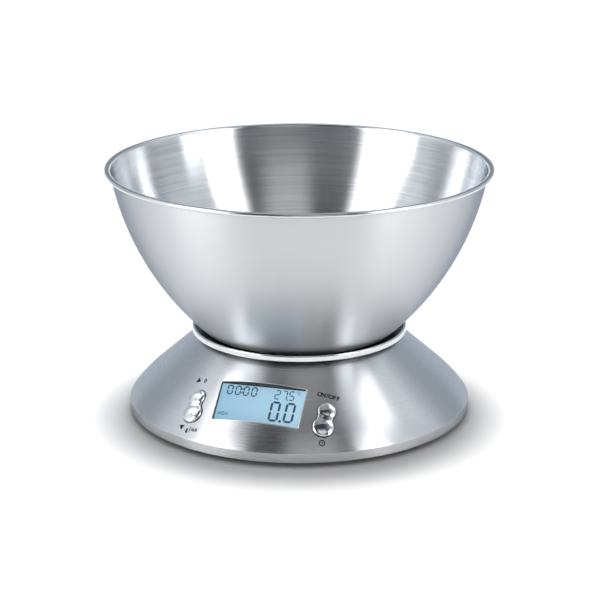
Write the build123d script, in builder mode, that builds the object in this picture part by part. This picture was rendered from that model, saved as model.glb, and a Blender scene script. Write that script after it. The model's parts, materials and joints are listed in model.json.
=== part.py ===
from build123d import *
import os
from math import asin, atan2, cos, hypot, radians, sin, sqrt, tan

# Kitchen scale with a lift-off mixing bowl. Millimetres, +Z up, the display faces -Y.
# The origin is on the table, on the common axis of the bowl, the tray and the domed base.

os.makedirs("parts", exist_ok=True)

LOW = (Align.CENTER, Align.CENTER, Align.MIN)
HIGH = (Align.CENTER, Align.CENTER, Align.MAX)

# ---- driving dimensions ------------------------------------------------------------------

# mixing bowl, outside surface
bowl_height = 93.1
bowl_rim_radius = 107.0
bowl_flange_width = 3.2
bowl_foot_radius = 52.4
bowl_side_bulge = 9.1
bowl_foot_rounding = 7.0
bowl_throat_rounding = 1.1
bowl_sheet = 0.6
bowl_bead_radius = 1.1

# weighing tray, the round platform that carries the bowl
bowl_clearance = 6.0
tray_rim_width = 1.7
tray_rim_height = 2.4
tray_rim_chamfer = 0.5
tray_sheet = 0.6
tray_recess = 1.8
tray_gap = 1.6
platform_travel = 0.6

# domed steel base
dome_height = 44.7
dome_top_radius = 56.9
dome_hole_radius = 45.0
shoulder_radius = 76.4
shoulder_turn = 12.6
dome_sheet = 0.5
crease_radius = 95.2
crease_height = 8.5
crease_drop = 0.2
skirt_step = 0.4
skirt_fall = 0.7
skirt_height = 5.0

# display opening, on a flat that leans back from the front of the dome
window_width = 48.0
window_height = 24.0
window_corner = 1.2
window_sink = 0.4
panel_cut = 8.0

# display stack behind the opening, from the outside in
lens_lap = 1.0
lens_thickness = 1.5
lens_step = 0.8
glass_thickness = 2.8
backlight_thickness = 3.0
zebra_width = 2.0
board_thickness = 1.6
board_side_inset = 1.6
board_end_margin = 4.5
board_screw_side = 5.4
board_screw_inset = 2.0
board_floor_gap = 1.3
stack_clearance = 0.15
pocket_wall = 1.5

# rocker buttons
rocker_gap = 6.5
rocker_drop = 0.8
lobe_spacing = 9.6
upper_lobe_radius = 4.9
lower_lobe_radius = 5.7
waist_width = 8.4
waist_rounding = 3.0
rocker_proud = 1.7
rocker_crown = 1.5
rocker_clearance = 0.35
rocker_cut = 4.4
rocker_flange = 1.1
rocker_flange_depth = 4.5
rocker_flange_thickness = 0.8
pivot_radius = 0.8
pivot_clearance = 0.05
cradle_clearance = 0.4
cradle_thickness = 1.8
cradle_width = 6.0
button_board_depth = 9.6
button_board_thickness = 1.2
switch_size = 6.0
switch_height = 3.4
plunger_radius = 1.7
plunger_height = 0.45
switch_spacing = 12.0
button_board_margin = 0.4
stake_radius = 0.6
stake_head_radius = 1.0
stake_head_height = 0.5
stake_clearance = 0.05

# upper housing, the moulding that joins dome, display and base
housing_gap = 0.2
housing_wall = 2.0
housing_bottom = 10.0
cradle_floor = 8.0
housing_spread = 76.0
deck_ring_lip = 1.0
deck_ring_inset = 1.1
deck_ring_thickness = 2.5
post_radius = 4.0
post_count = 4

# bottom cover
cover_bottom = 3.0
cover_floor = 2.0
cover_gap = 0.2
cover_rim_wall = 2.0
cover_rim_clearance = 0.1
cover_post_height = 7.0
cover_chamfer = 0.8
cover_rib_count = 16
cover_rib_length = 5.0
cover_rib_width = 1.5

# rubber feet
foot_count = 4
foot_radius = 6.0
foot_edge_distance = 16.2
foot_seat = 1.0
foot_chamfer = 0.8

# load cell and what holds it
cell_length = 75.0
cell_width = 12.7
cell_height = 12.7
cell_boss_height = 9.0
cell_slot_height = 3.0
cell_hole_radius = 4.9
cell_hole_spacing = 15.0
cell_screw_inset = 5.0
cell_bore_radius = 2.1
spacer_thickness = 1.5
stop_gap = 0.2
stop_radius = 3.0

# platform carrier
carrier_gap = 3.0
carrier_plate = 2.0
carrier_rib_wall = 2.0
carrier_rib_height = 3.3
carrier_web = 2.0

# fasteners
screw_shank_radius = 1.5
screw_head_radius = 2.8
screw_head_height = 1.8
screw_length = 18.0
cell_screw_radius = 2.0
cell_screw_head_radius = 3.5
cell_screw_head_height = 2.4
cell_screw_length = 20.0
board_screw_radius = 0.9
board_screw_head_radius = 1.7
board_screw_head_height = 1.0
board_screw_length = 4.5
screw_clearance = 0.2
head_sink = 0.6

# two AAA cells under the back of the base
battery_radius = 5.2
battery_length = 43.7
battery_nub_radius = 1.9
battery_nub_length = 0.8
battery_spacing = 0.8
bay_centre = 30.0
bay_wall = 1.5
bay_roof = 1.5
battery_clearance = 0.4
spring_length = 5.0
spring_reach = 3.4
spring_sheet = 0.3
spring_width = 4.0
contact_width = 7.8
contact_height = 6.0
contact_thickness = 0.4

# battery door
door_clearance = 0.25
hinge_radius = 1.6
trunnion_radius = 0.8
trunnion_length = 1.1
trunnion_clearance = 0.05
latch_width = 12.0
latch_slot = 0.8
latch_length = 6.0
grip_count = 4
grip_pitch = 1.6
grip_width = 8.8
grip_groove_width = 0.8
grip_groove_depth = 0.4

# small electronics
chip_radius = 6.0
chip_height = 1.4
buzzer_radius = 6.0
buzzer_height = 2.8
buzzer_port_radius = 1.2
buzzer_side = 14.0
sensor_size = 3.0
gauge_length = 7.0
gauge_width = 5.0
gauge_thickness = 0.4
gauge_clearance = 1.5

# ---- heights and places that follow ------------------------------------------------------

bowl_throat_radius = bowl_rim_radius - bowl_flange_width
tray_rim_radius = bowl_foot_radius + bowl_clearance + tray_rim_width
carrier_radius = dome_hole_radius - carrier_gap
skirt_radius = crease_radius + skirt_step
skirt_top = crease_height - skirt_fall
skirt_bottom = skirt_top - skirt_height
tray_underside = dome_height + tray_gap
tray_rim_top = tray_underside + tray_rim_height
tray_floor_top = tray_rim_top - tray_recess
tray_floor_under = tray_floor_top - tray_sheet
bowl_top = tray_floor_top + bowl_height
flange_under = bowl_top - bowl_sheet
bead_r = bowl_rim_radius - bowl_bead_radius
bead_z = bowl_top - bowl_bead_radius
bead_root = bead_r - sqrt(bowl_bead_radius**2 - (bowl_bead_radius - bowl_sheet) ** 2)
deck_under = dome_height - dome_sheet
ring_under = deck_under - deck_ring_thickness
deck_ring_inner = dome_hole_radius - deck_ring_lip
deck_ring_outer = dome_top_radius - deck_ring_inset
post_circle_radius = (deck_ring_inner + deck_ring_outer) / 2
floor_top = cover_bottom + cover_floor
cover_radius = skirt_radius - dome_sheet - cover_gap
cover_rim_top = skirt_top - cover_rim_clearance
post_bottom = floor_top + cover_post_height
foot_circle_radius = cover_radius - foot_edge_distance
cell_bottom = floor_top + cell_boss_height + spacer_thickness
cell_top = cell_bottom + cell_height

# the bowl's side is one arc
side_run = bowl_throat_radius - bowl_foot_radius
side_rise = flange_under - tray_floor_top
side_chord = hypot(side_run, side_rise)
side_radius = (side_chord**2 / 4 + bowl_side_bulge**2) / (2 * bowl_side_bulge)
side_setback = (side_radius - bowl_side_bulge) / side_chord
side_r = (bowl_foot_radius + bowl_throat_radius) / 2 - side_setback * side_rise
side_z = (tray_floor_top + flange_under) / 2 + side_setback * side_run


def bowl_side(inset: float, bottom: float, top: float) -> tuple[Vector, Vector]:
    """Outline that runs `inset` inside the bowl's side between two heights, and its two ends."""
    ends = [side_r + sqrt((side_radius - inset) ** 2 - (z - side_z) ** 2) for z in (bottom, top)]
    arc = RadiusArc((ends[0], bottom), (ends[1], top), inset - side_radius)
    return arc @ 0, arc @ 1


# the dome's side is a cone that runs on into a round shoulder, down to the crease
half_turn = radians(shoulder_turn / 2)
dome_chord = hypot(crease_radius - dome_top_radius, dome_height - crease_height)
dome_fall = atan2(dome_height - crease_height, crease_radius - dome_top_radius)
cone_turn = asin(2 * shoulder_radius * sin(half_turn) ** 2 / dome_chord)
cone_length = dome_chord * sin(half_turn - cone_turn) / sin(half_turn)
slope = dome_fall - cone_turn
shoulder_start_radius = dome_top_radius + cone_length * cos(slope)
shoulder_start_height = dome_height - cone_length * sin(slope)
shoulder_r = shoulder_start_radius - shoulder_radius * sin(slope)
shoulder_z = shoulder_start_height - shoulder_radius * cos(slope)


def dome_radius(height: float, inset: float = 0.0) -> float:
    """Distance from the axis of a surface that lies `inset` inside the dome."""
    reach = shoulder_radius - inset
    if height > shoulder_z + reach * cos(slope):
        return dome_top_radius + (dome_height - height) / tan(slope) - inset / sin(slope)
    return shoulder_r + sqrt(reach**2 - (height - shoulder_z) ** 2)


def dome_level(radius: float) -> float:
    """Height of the dome's outside at a distance from the axis."""
    if radius < shoulder_start_radius:
        return dome_height - (radius - dome_top_radius) * tan(slope)
    return shoulder_z + sqrt(shoulder_radius**2 - (radius - shoulder_r) ** 2)


def dome_lean(radius: float) -> float:
    """Angle between the dome's outward normal and the vertical."""
    return slope if radius < shoulder_start_radius else asin((radius - shoulder_r) / shoulder_radius)


def dome_side(inset: float, top: float, bottom: float) -> tuple[Vector, Vector]:
    """Outline that runs `inset` inside the dome between two heights, and its two ends."""
    reach = shoulder_radius - inset
    turn = (shoulder_r + reach * sin(slope), shoulder_z + reach * cos(slope))
    cone = Line((dome_radius(top, inset), top), turn)
    shoulder = TangentArc(turn, (dome_radius(bottom, inset), bottom), tangent=cone % 1)
    return cone @ 0, shoulder @ 1


# display stack: faces on the panel's normal, and the board's size
lens_width = window_width + 2 * lens_lap
lens_height = window_height + 2 * lens_lap + zebra_width
lens_shift = zebra_width / 2
glass_face = -lens_thickness
backlight_face = glass_face - glass_thickness
board_face = backlight_face - backlight_thickness
board_back = board_face - board_thickness
pocket_width = lens_width + 2 * pocket_wall
board_width = pocket_width - 2 * board_side_inset
board_height = lens_height + 2 * board_end_margin
board_screw_places = GridLocations(
    board_width - 2 * board_screw_side, board_height - 2 * board_screw_inset, 2, 2
)

# the display's flat lies as low as its board can go over the floor, and touches the dome
# at the middle of the opening's two sides
board_reach = board_height / 2 * sin(slope) + (board_screw_head_height - board_back) * cos(slope)
panel_height = floor_top + board_floor_gap + board_reach
panel_distance = sqrt(dome_radius(panel_height + window_sink) ** 2 - (window_width / 2) ** 2)
panel = Plane(
    origin=(0, -panel_distance, panel_height),
    x_dir=(1, 0, 0),
    z_dir=(0, -sin(slope), cos(slope)),
)

# the rockers stand beside the display
rocker_side = window_width / 2 + rocker_gap + lower_lobe_radius
rocker_forward = panel_distance + rocker_drop
rocker_length = lobe_spacing + upper_lobe_radius + lower_lobe_radius


def rocker_plane(side: int) -> Plane:
    """Plane that touches the dome under a rocker, with its y axis along the rocker."""
    radius = hypot(rocker_side, rocker_forward)
    lean = dome_lean(radius)
    outward = Vector(side * rocker_side, -rocker_forward, 0).normalized()
    normal = outward * sin(lean) + Vector(0, 0, cos(lean))
    uphill = Vector(0, cos(lean), sin(lean))
    return Plane(
        origin=(side * rocker_side, -rocker_forward, dome_level(radius)),
        x_dir=uphill.cross(normal),
        z_dir=normal,
    )


def rocker_outline(grow: float) -> Sketch:
    """Figure-eight outline of a rocker, `grow` larger all round."""
    upper = rocker_length / 2 - upper_lobe_radius
    lower = lower_lobe_radius - rocker_length / 2
    half_waist = waist_width / 2 + grow
    with BuildSketch() as outline:
        with Locations((0, upper)):
            Circle(upper_lobe_radius + grow)
        with Locations((0, lower)):
            Circle(lower_lobe_radius + grow)
        with Locations((0, (upper + lower) / 2)):
            Rectangle(2 * half_waist, upper - lower)
        notches = outline.vertices().filter_by(lambda corner: abs(abs(corner.X) - half_waist) < 1e-4)
        fillet(notches, waist_rounding)
    return outline.sketch


rockers = {"left": rocker_plane(-1), "right": rocker_plane(1)}
rocker_bottom = -rocker_flange_depth - rocker_flange_thickness
pivot_depth = rocker_flange_depth + rocker_flange_thickness / 2
cradle_inside = lower_lobe_radius + rocker_flange + cradle_clearance
cradle_middle = cradle_inside + cradle_thickness / 2
stake_places = GridLocations(2 * cradle_middle, 0, 2, 1)
button_board_width = 2 * (cradle_inside + cradle_thickness + button_board_margin)
button_board_length = rocker_length + 2 * button_board_margin

# battery bay
battery_pitch = 2 * battery_radius + battery_spacing
bay_half_width = battery_pitch / 2 + battery_radius + battery_clearance
cell_axis_z = floor_top + battery_clearance + battery_radius
bay_length = battery_length + battery_nub_length + spring_length + 2 * contact_thickness
bay_top = cell_axis_z + battery_radius + battery_clearance
hinge_y = bay_centre + bay_half_width - door_clearance - hinge_radius
hinge_z = cover_bottom + hinge_radius
door_front = bay_centre - bay_half_width + door_clearance
door_length = bay_length - 2 * door_clearance

# load cell along X: fixed at its -X end, loaded at its +X end
cell_seat_start = cell_hole_spacing / 2 + gauge_length / 2 + gauge_clearance
cell_seat_length = cell_length / 2 - cell_seat_start
cell_screw_spacing = cell_seat_length - 2 * cell_screw_inset
outer_screw = cell_length / 2 - cell_screw_inset
fixed_screws = [-outer_screw, cell_screw_spacing - outer_screw]
free_screws = [-x for x in fixed_screws]
fixed_middle = sum(fixed_screws) / 2
free_middle = sum(free_screws) / 2

fixed_places = Locations(*[(x, 0) for x in fixed_screws])
free_places = Locations(*[(x, 0) for x in free_screws])
post_places = PolarLocations(post_circle_radius, post_count, start_angle=180 / post_count)
foot_places = PolarLocations(foot_circle_radius, foot_count, start_angle=180 / foot_count)


def write(piece: BuildPart, name: str) -> None:
    """Label a finished piece and write it as parts/<name>.step."""
    piece.part.label = name
    export_step(piece.part, f"parts/{name}.step")


# ---- mixing bowl -------------------------------------------------------------------------

with BuildPart() as mixing_bowl:
    with BuildSketch(Plane.XZ) as bowl_wall:
        with BuildLine():
            foot, throat = bowl_side(0, tray_floor_top, flange_under)
            inner_foot, inner_throat = bowl_side(bowl_sheet, tray_floor_top + bowl_sheet, bowl_top)
            Polyline(foot, (0, tray_floor_top), (0, tray_floor_top + bowl_sheet), inner_foot)
            Line(throat, (bead_root, flange_under))
            ThreePointArc((bead_root, flange_under), (bowl_rim_radius, bead_z), (bead_r, bowl_top))
            Line((bead_r, bowl_top), inner_throat)
        make_face()
        bends = {
            foot: bowl_foot_rounding,
            inner_foot: bowl_foot_rounding - bowl_sheet,
            throat: bowl_throat_rounding,
            inner_throat: bowl_throat_rounding + bowl_sheet,
        }
        for corner, radius in bends.items():
            fillet(bowl_wall.vertices().sort_by_distance(corner)[0], radius)
    revolve(axis=Axis.Z)
write(mixing_bowl, "mixing_bowl")

# ---- weighing tray -----------------------------------------------------------------------

with BuildPart() as weighing_tray:
    with BuildSketch(Plane.XZ):
        with Locations((0, tray_floor_under)):
            Rectangle(tray_rim_radius - tray_rim_width / 2, tray_sheet, align=Align.MIN)
        with Locations((tray_rim_radius - tray_rim_width, tray_underside)):
            rim = Rectangle(tray_rim_width, tray_rim_height, align=Align.MIN)
        chamfer(rim.vertices().group_by(Axis.Y)[-1], tray_rim_chamfer)
    revolve(axis=Axis.Z)
write(weighing_tray, "weighing_tray")

# ---- platform carrier --------------------------------------------------------------------

with BuildPart() as platform_carrier:
    with BuildSketch(Plane.XY.offset(tray_floor_under)):
        Circle(carrier_radius)
    extrude(amount=-carrier_plate)
    with BuildSketch(Plane.XY.offset(tray_floor_under - carrier_plate)):
        Circle(carrier_radius)
        Circle(carrier_radius - carrier_rib_wall, mode=Mode.SUBTRACT)
        Rectangle(2 * carrier_radius - carrier_rib_wall, carrier_web)
        Rectangle(carrier_web, 2 * carrier_radius - carrier_rib_wall)
    extrude(amount=-carrier_rib_height)
    with BuildSketch(Plane.XY.offset(cell_top)):
        with Locations((free_middle, 0)):
            Rectangle(cell_seat_length, cell_width)
    extrude(amount=tray_floor_under - carrier_plate - cell_top)
    with BuildSketch(Plane.XY.offset(cell_top)):
        with free_places:
            Circle(cell_screw_radius)
    extrude(amount=cell_screw_length - cell_height, mode=Mode.SUBTRACT)
write(platform_carrier, "platform_carrier")

with BuildPart() as carrier_screws:
    with Locations([(x, 0, cell_bottom) for x in free_screws]):
        Cylinder(cell_screw_radius, cell_screw_length, align=LOW)
        Cylinder(cell_screw_head_radius, cell_screw_head_height, align=HIGH)
write(carrier_screws, "carrier_screws")

# ---- domed steel base --------------------------------------------------------------------

with BuildPart() as dome_cover:
    with BuildSketch(Plane.XZ):
        with BuildLine():
            outer_top, outer_end = dome_side(0, dome_height, crease_height)
            inner_top, inner_end = dome_side(dome_sheet, deck_under, crease_height - crease_drop)
            Polyline(outer_top, (dome_hole_radius, dome_height), (dome_hole_radius, deck_under), inner_top)
            skirt_inner = skirt_radius - dome_sheet
            skirt_foot = (skirt_inner, skirt_bottom)
            Polyline(outer_end, (skirt_radius, skirt_top), (skirt_radius, skirt_bottom), skirt_foot)
            Polyline(skirt_foot, (skirt_inner, skirt_top - crease_drop), inner_end)
        make_face()
    revolve(axis=Axis.Z)
    with BuildSketch(panel):
        opening = Rectangle(window_width, window_height)
        fillet(opening.vertices(), window_corner)
    extrude(amount=panel_cut, both=True, mode=Mode.SUBTRACT)
    for plane in rockers.values():
        with BuildSketch(plane):
            add(rocker_outline(rocker_clearance))
        extrude(amount=rocker_cut, both=True, mode=Mode.SUBTRACT)
write(dome_cover, "dome_cover")

# ---- upper housing -----------------------------------------------------------------------

# plane through the axis at one end of the front wall
fan_start = radians(-90 - housing_spread / 2)
fan = Plane(
    origin=(0, 0, 0),
    x_dir=(cos(fan_start), sin(fan_start), 0),
    z_dir=(sin(fan_start), -cos(fan_start), 0),
)
housing_inset = dome_sheet + housing_gap

with BuildPart() as upper_housing:
    # display pocket and rocker cradles, cut off inside the front wall
    with BuildSketch(panel.offset(board_face)):
        Rectangle(pocket_width, board_height)
    extrude(amount=panel_cut - board_face)
    for plane in rockers.values():
        with BuildSketch(plane.offset(-button_board_depth)):
            with Locations((cradle_middle, 0), (-cradle_middle, 0)):
                Rectangle(cradle_thickness, cradle_width)
        extrude(amount=button_board_depth)
        with BuildSketch(plane.offset(-button_board_depth)):
            with stake_places:
                Circle(stake_radius)
        extrude(amount=-button_board_thickness)
        with BuildSketch(plane.offset(-button_board_depth - button_board_thickness)):
            with stake_places:
                Circle(stake_head_radius)
        extrude(amount=-stake_head_height)
    with BuildSketch(Plane.XZ):
        with BuildLine():
            ends = dome_side(housing_inset + housing_wall / 2, deck_under, cradle_floor)
            Polyline(ends[0], (0, deck_under), (0, cradle_floor), ends[1])
        make_face()
    revolve(axis=Axis.Z, mode=Mode.INTERSECT)
    # front wall that follows the dome behind the display and the rockers
    with BuildSketch(fan):
        with BuildLine():
            outer = dome_side(housing_inset, deck_under, housing_bottom)
            inner = dome_side(housing_inset + housing_wall, deck_under, housing_bottom)
            Line(outer[0], inner[0])
            Line(outer[1], inner[1])
        make_face()
    revolve(axis=Axis.Z, revolution_arc=housing_spread)
    # deck ring under the steel deck, with the screw posts
    with BuildSketch(Plane.XY.offset(ring_under)):
        Circle(deck_ring_outer)
        Circle(deck_ring_inner, mode=Mode.SUBTRACT)
    extrude(amount=deck_ring_thickness)
    with BuildSketch(Plane.XY.offset(post_bottom)):
        with post_places:
            Circle(post_radius)
    extrude(amount=ring_under - post_bottom)
    # openings, seats and bores
    with BuildSketch(panel):
        opening = Rectangle(window_width, window_height)
        fillet(opening.vertices(), window_corner)
    extrude(amount=panel_cut, both=True, mode=Mode.SUBTRACT)
    with BuildSketch(panel.offset(board_face)):
        with Locations((0, lens_shift)):
            Rectangle(lens_width + 2 * stack_clearance, lens_height + 2 * stack_clearance)
    extrude(amount=-board_face - lens_step + stack_clearance, mode=Mode.SUBTRACT)
    with BuildSketch(panel.offset(board_face)):
        with board_screw_places:
            Circle(board_screw_radius)
    extrude(amount=board_screw_length - board_thickness, mode=Mode.SUBTRACT)
    for plane in rockers.values():
        with BuildSketch(plane):
            add(rocker_outline(rocker_clearance))
        extrude(amount=rocker_cut, both=True, mode=Mode.SUBTRACT)
        pivot = plane.offset(-pivot_depth)
        with BuildSketch(Plane(origin=pivot.origin, x_dir=plane.y_dir, z_dir=plane.x_dir)):
            Circle(pivot_radius + pivot_clearance)
        extrude(amount=cradle_inside + cradle_thickness, both=True, mode=Mode.SUBTRACT)
    with BuildSketch(Plane.XY.offset(post_bottom)):
        with post_places:
            Circle(screw_shank_radius)
    extrude(amount=screw_length, mode=Mode.SUBTRACT)
write(upper_housing, "upper_housing")

# ---- display stack -----------------------------------------------------------------------


def slab(name: str, width: float, height: float, shift: float, face: float, thickness: float) -> None:
    """Flat layer behind the display opening: its front lies at `face` on the panel's normal."""
    with BuildPart() as layer:
        with BuildSketch(panel.offset(face)):
            with Locations((0, shift)):
                Rectangle(width, height)
        extrude(amount=-thickness)
    write(layer, name)


with BuildPart() as display_window:
    with BuildSketch(panel.offset(-lens_thickness)):
        with Locations((0, lens_shift)):
            Rectangle(lens_width, lens_height)
    extrude(amount=lens_thickness - lens_step)
    with BuildSketch(panel.offset(-lens_step)):
        face = Rectangle(window_width - 2 * stack_clearance, window_height - 2 * stack_clearance)
        fillet(face.vertices(), window_corner)
    extrude(amount=lens_step)
write(display_window, "display_window")

slab("lcd_glass", lens_width, lens_height, lens_shift, glass_face, glass_thickness)
slab("lcd_backlight", lens_width, lens_height - zebra_width, 0, backlight_face, backlight_thickness)
zebra_middle = lens_shift + (lens_height - zebra_width) / 2
slab("zebra_strip", lens_width, zebra_width, zebra_middle, backlight_face, backlight_thickness)

with BuildPart() as main_board:
    with BuildSketch(panel.offset(board_face)):
        Rectangle(board_width, board_height)
        with board_screw_places:
            Circle(board_screw_radius + screw_clearance, mode=Mode.SUBTRACT)
    extrude(amount=-board_thickness)
write(main_board, "main_board")

with BuildPart() as board_screws:
    with BuildSketch(panel.offset(board_back)):
        with board_screw_places:
            Circle(board_screw_radius)
    extrude(amount=board_screw_length)
    with BuildSketch(panel.offset(board_back)):
        with board_screw_places:
            Circle(board_screw_head_radius)
    extrude(amount=-board_screw_head_height)
write(board_screws, "board_screws")

# parts soldered to the back of the main board
with BuildPart() as main_chip:
    with BuildSketch(panel.offset(board_back)):
        Circle(chip_radius)
    extrude(amount=-chip_height)
    chamfer(main_chip.faces().sort_by(Axis(panel.origin, panel.z_dir))[0].edges(), chip_height / 2)
write(main_chip, "main_chip")

with BuildPart() as buzzer:
    with BuildSketch(panel.offset(board_back)):
        with Locations((-buzzer_side, 0)):
            Circle(buzzer_radius)
    extrude(amount=-buzzer_height)
    with BuildSketch(panel.offset(board_back - buzzer_height)):
        with Locations((-buzzer_side, 0)):
            Circle(buzzer_port_radius)
    extrude(amount=buzzer_height / 2, mode=Mode.SUBTRACT)
write(buzzer, "buzzer")

with BuildPart() as thermistor:
    with BuildSketch(panel.offset(board_back)):
        with Locations((buzzer_side, 0)):
            Rectangle(sensor_size, sensor_size / 2)
    extrude(amount=-sensor_size / 2)
write(thermistor, "thermistor")

# ---- rocker buttons and what they press --------------------------------------------------

for hand, plane in rockers.items():
    outward_end = Axis(plane.origin, plane.z_dir)

    with BuildPart() as rocker:
        with BuildSketch(plane.offset(rocker_bottom)):
            add(rocker_outline(0))
        extrude(amount=rocker_proud - rocker_bottom)
        fillet(rocker.faces().sort_by(outward_end)[-1].edges(), rocker_crown)
        with BuildSketch(plane.offset(rocker_bottom)):
            add(rocker_outline(rocker_flange))
        extrude(amount=rocker_flange_thickness)
        pivot = plane.offset(-pivot_depth)
        with BuildSketch(Plane(origin=pivot.origin, x_dir=plane.y_dir, z_dir=plane.x_dir)):
            Circle(pivot_radius)
        extrude(amount=cradle_middle, both=True)
    write(rocker, f"{hand}_rocker")

    with BuildPart() as button_board:
        with BuildSketch(plane.offset(-button_board_depth)):
            Rectangle(button_board_width, button_board_length)
            with stake_places:
                Circle(stake_radius + stake_clearance, mode=Mode.SUBTRACT)
        extrude(amount=-button_board_thickness)
    write(button_board, f"{hand}_button_board")

    with BuildPart() as switches:
        with BuildSketch(plane.offset(-button_board_depth)):
            with GridLocations(0, switch_spacing, 1, 2):
                Rectangle(switch_size, switch_size)
        extrude(amount=switch_height)
        with BuildSketch(plane.offset(switch_height - button_board_depth)):
            with GridLocations(0, switch_spacing, 1, 2):
                Circle(plunger_radius)
        extrude(amount=plunger_height)
    write(switches, f"{hand}_switches")

# ---- bottom cover ------------------------------------------------------------------------

with BuildPart() as bottom_cover:
    with BuildSketch(Plane.XY.offset(cover_bottom)):
        Circle(cover_radius)
    extrude(amount=cover_floor)
    chamfer(bottom_cover.edges().group_by(Axis.Z)[0], cover_chamfer)
    with BuildSketch(Plane.XY.offset(floor_top)):
        Circle(cover_radius)
        Circle(cover_radius - cover_rim_wall, mode=Mode.SUBTRACT)
        with PolarLocations(cover_radius - cover_rim_wall - cover_rib_length / 2, cover_rib_count):
            Rectangle(cover_rib_length + cover_rim_wall, cover_rib_width)
    extrude(amount=cover_rim_top - floor_top)
    with BuildSketch(Plane.XY.offset(floor_top)):
        with post_places:
            Circle(post_radius)
    extrude(amount=cover_post_height)
    with BuildSketch(Plane.XY.offset(floor_top)):
        with Locations((fixed_middle, 0)):
            Rectangle(cell_seat_length, cell_width)
    extrude(amount=cell_boss_height)
    with BuildSketch(Plane.XY.offset(floor_top)):
        with Locations((free_middle, 0)):
            Circle(stop_radius)
    extrude(amount=cell_bottom - platform_travel - stop_gap - floor_top)
    # battery bay, open below
    with BuildSketch(Plane.XY.offset(floor_top)):
        with Locations((0, bay_centre)):
            Rectangle(bay_length + 2 * bay_wall, 2 * (bay_half_width + bay_wall))
    extrude(amount=bay_top + bay_roof - floor_top)
    with BuildSketch(Plane.XY.offset(cover_bottom)):
        with Locations((0, bay_centre)):
            Rectangle(bay_length, 2 * bay_half_width)
    extrude(amount=bay_top - cover_bottom, mode=Mode.SUBTRACT)
    with BuildSketch(Plane.YZ):
        with Locations((hinge_y, hinge_z)):
            Circle(trunnion_radius + trunnion_clearance)
    extrude(amount=door_length / 2 + trunnion_length + trunnion_clearance, both=True, mode=Mode.SUBTRACT)
    with BuildSketch(Plane.XY.offset(cover_bottom)):
        with Locations((0, bay_centre - bay_half_width)):
            Circle(latch_width / 2)
    extrude(amount=cover_floor / 2, mode=Mode.SUBTRACT)
    # seats for feet and screws
    with BuildSketch(Plane.XY.offset(cover_bottom)):
        with foot_places:
            Circle(foot_radius + screw_clearance)
    extrude(amount=foot_seat, mode=Mode.SUBTRACT)
    with BuildSketch(Plane.XY.offset(cover_bottom)):
        with post_places:
            Circle(screw_shank_radius + screw_clearance)
        with fixed_places:
            Circle(cell_screw_radius + screw_clearance)
    extrude(amount=cell_bottom, mode=Mode.SUBTRACT)
    with BuildSketch(Plane.XY.offset(cover_bottom)):
        with post_places:
            Circle(screw_head_radius + screw_clearance)
    extrude(amount=screw_head_height + head_sink, mode=Mode.SUBTRACT)
    with BuildSketch(Plane.XY.offset(cover_bottom)):
        with fixed_places:
            Circle(cell_screw_head_radius + screw_clearance)
    extrude(amount=cell_screw_head_height + head_sink, mode=Mode.SUBTRACT)
write(bottom_cover, "bottom_cover")

with BuildPart() as housing_screws:
    with BuildSketch(Plane.XY.offset(cover_bottom + head_sink)):
        with post_places:
            Circle(screw_head_radius)
    extrude(amount=screw_head_height)
    with BuildSketch(Plane.XY.offset(cover_bottom + head_sink + screw_head_height)):
        with post_places:
            Circle(screw_shank_radius)
    extrude(amount=screw_length)
write(housing_screws, "housing_screws")

for corner, place in zip(("rear_right", "rear_left", "front_left", "front_right"), foot_places.locations):
    with BuildPart(Plane(place)) as foot:
        Cylinder(foot_radius, cover_bottom + foot_seat, align=LOW)
        chamfer(foot.edges().group_by(Axis.Z)[0], foot_chamfer)
    write(foot, f"foot_{corner}")

# ---- load cell ---------------------------------------------------------------------------

with BuildPart() as load_cell:
    with BuildSketch(Plane.XZ):
        with Locations((0, cell_bottom + cell_height / 2)):
            Rectangle(cell_length, cell_height)
            with GridLocations(cell_hole_spacing, 0, 2, 1):
                Circle(cell_hole_radius, mode=Mode.SUBTRACT)
            Rectangle(cell_hole_spacing, cell_slot_height, mode=Mode.SUBTRACT)
    extrude(amount=cell_width / 2, both=True)
    with BuildSketch(Plane.XY.offset(cell_bottom)):
        with Locations([(x, 0) for x in fixed_screws + free_screws]):
            Circle(cell_bore_radius)
    extrude(amount=cell_height, mode=Mode.SUBTRACT)
write(load_cell, "load_cell")

with BuildPart() as strain_gauges:
    for level, rise in ((cell_top, gauge_thickness), (cell_bottom, -gauge_thickness)):
        with BuildSketch(Plane.XY.offset(level)):
            with GridLocations(cell_hole_spacing, 0, 2, 1):
                Rectangle(gauge_length, gauge_width)
        extrude(amount=rise)
write(strain_gauges, "strain_gauges")

with BuildPart() as load_cell_spacer:
    with BuildSketch(Plane.XY.offset(cell_bottom - spacer_thickness)):
        with Locations((fixed_middle, 0)):
            Rectangle(cell_seat_length, cell_width)
        with fixed_places:
            Circle(cell_bore_radius, mode=Mode.SUBTRACT)
    extrude(amount=spacer_thickness)
write(load_cell_spacer, "load_cell_spacer")

with BuildPart() as load_cell_screws:
    with BuildSketch(Plane.XY.offset(cover_bottom + head_sink)):
        with fixed_places:
            Circle(cell_screw_head_radius)
    extrude(amount=cell_screw_head_height)
    with BuildSketch(Plane.XY.offset(cover_bottom + head_sink + cell_screw_head_height)):
        with fixed_places:
            Circle(cell_screw_radius)
    extrude(amount=cell_screw_length)
write(load_cell_screws, "load_cell_screws")

# ---- batteries and their contacts --------------------------------------------------------

# the front cell's positive end points to +X, the rear cell is turned round
cells = {"battery_front": 1, "battery_rear": -1}

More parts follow.
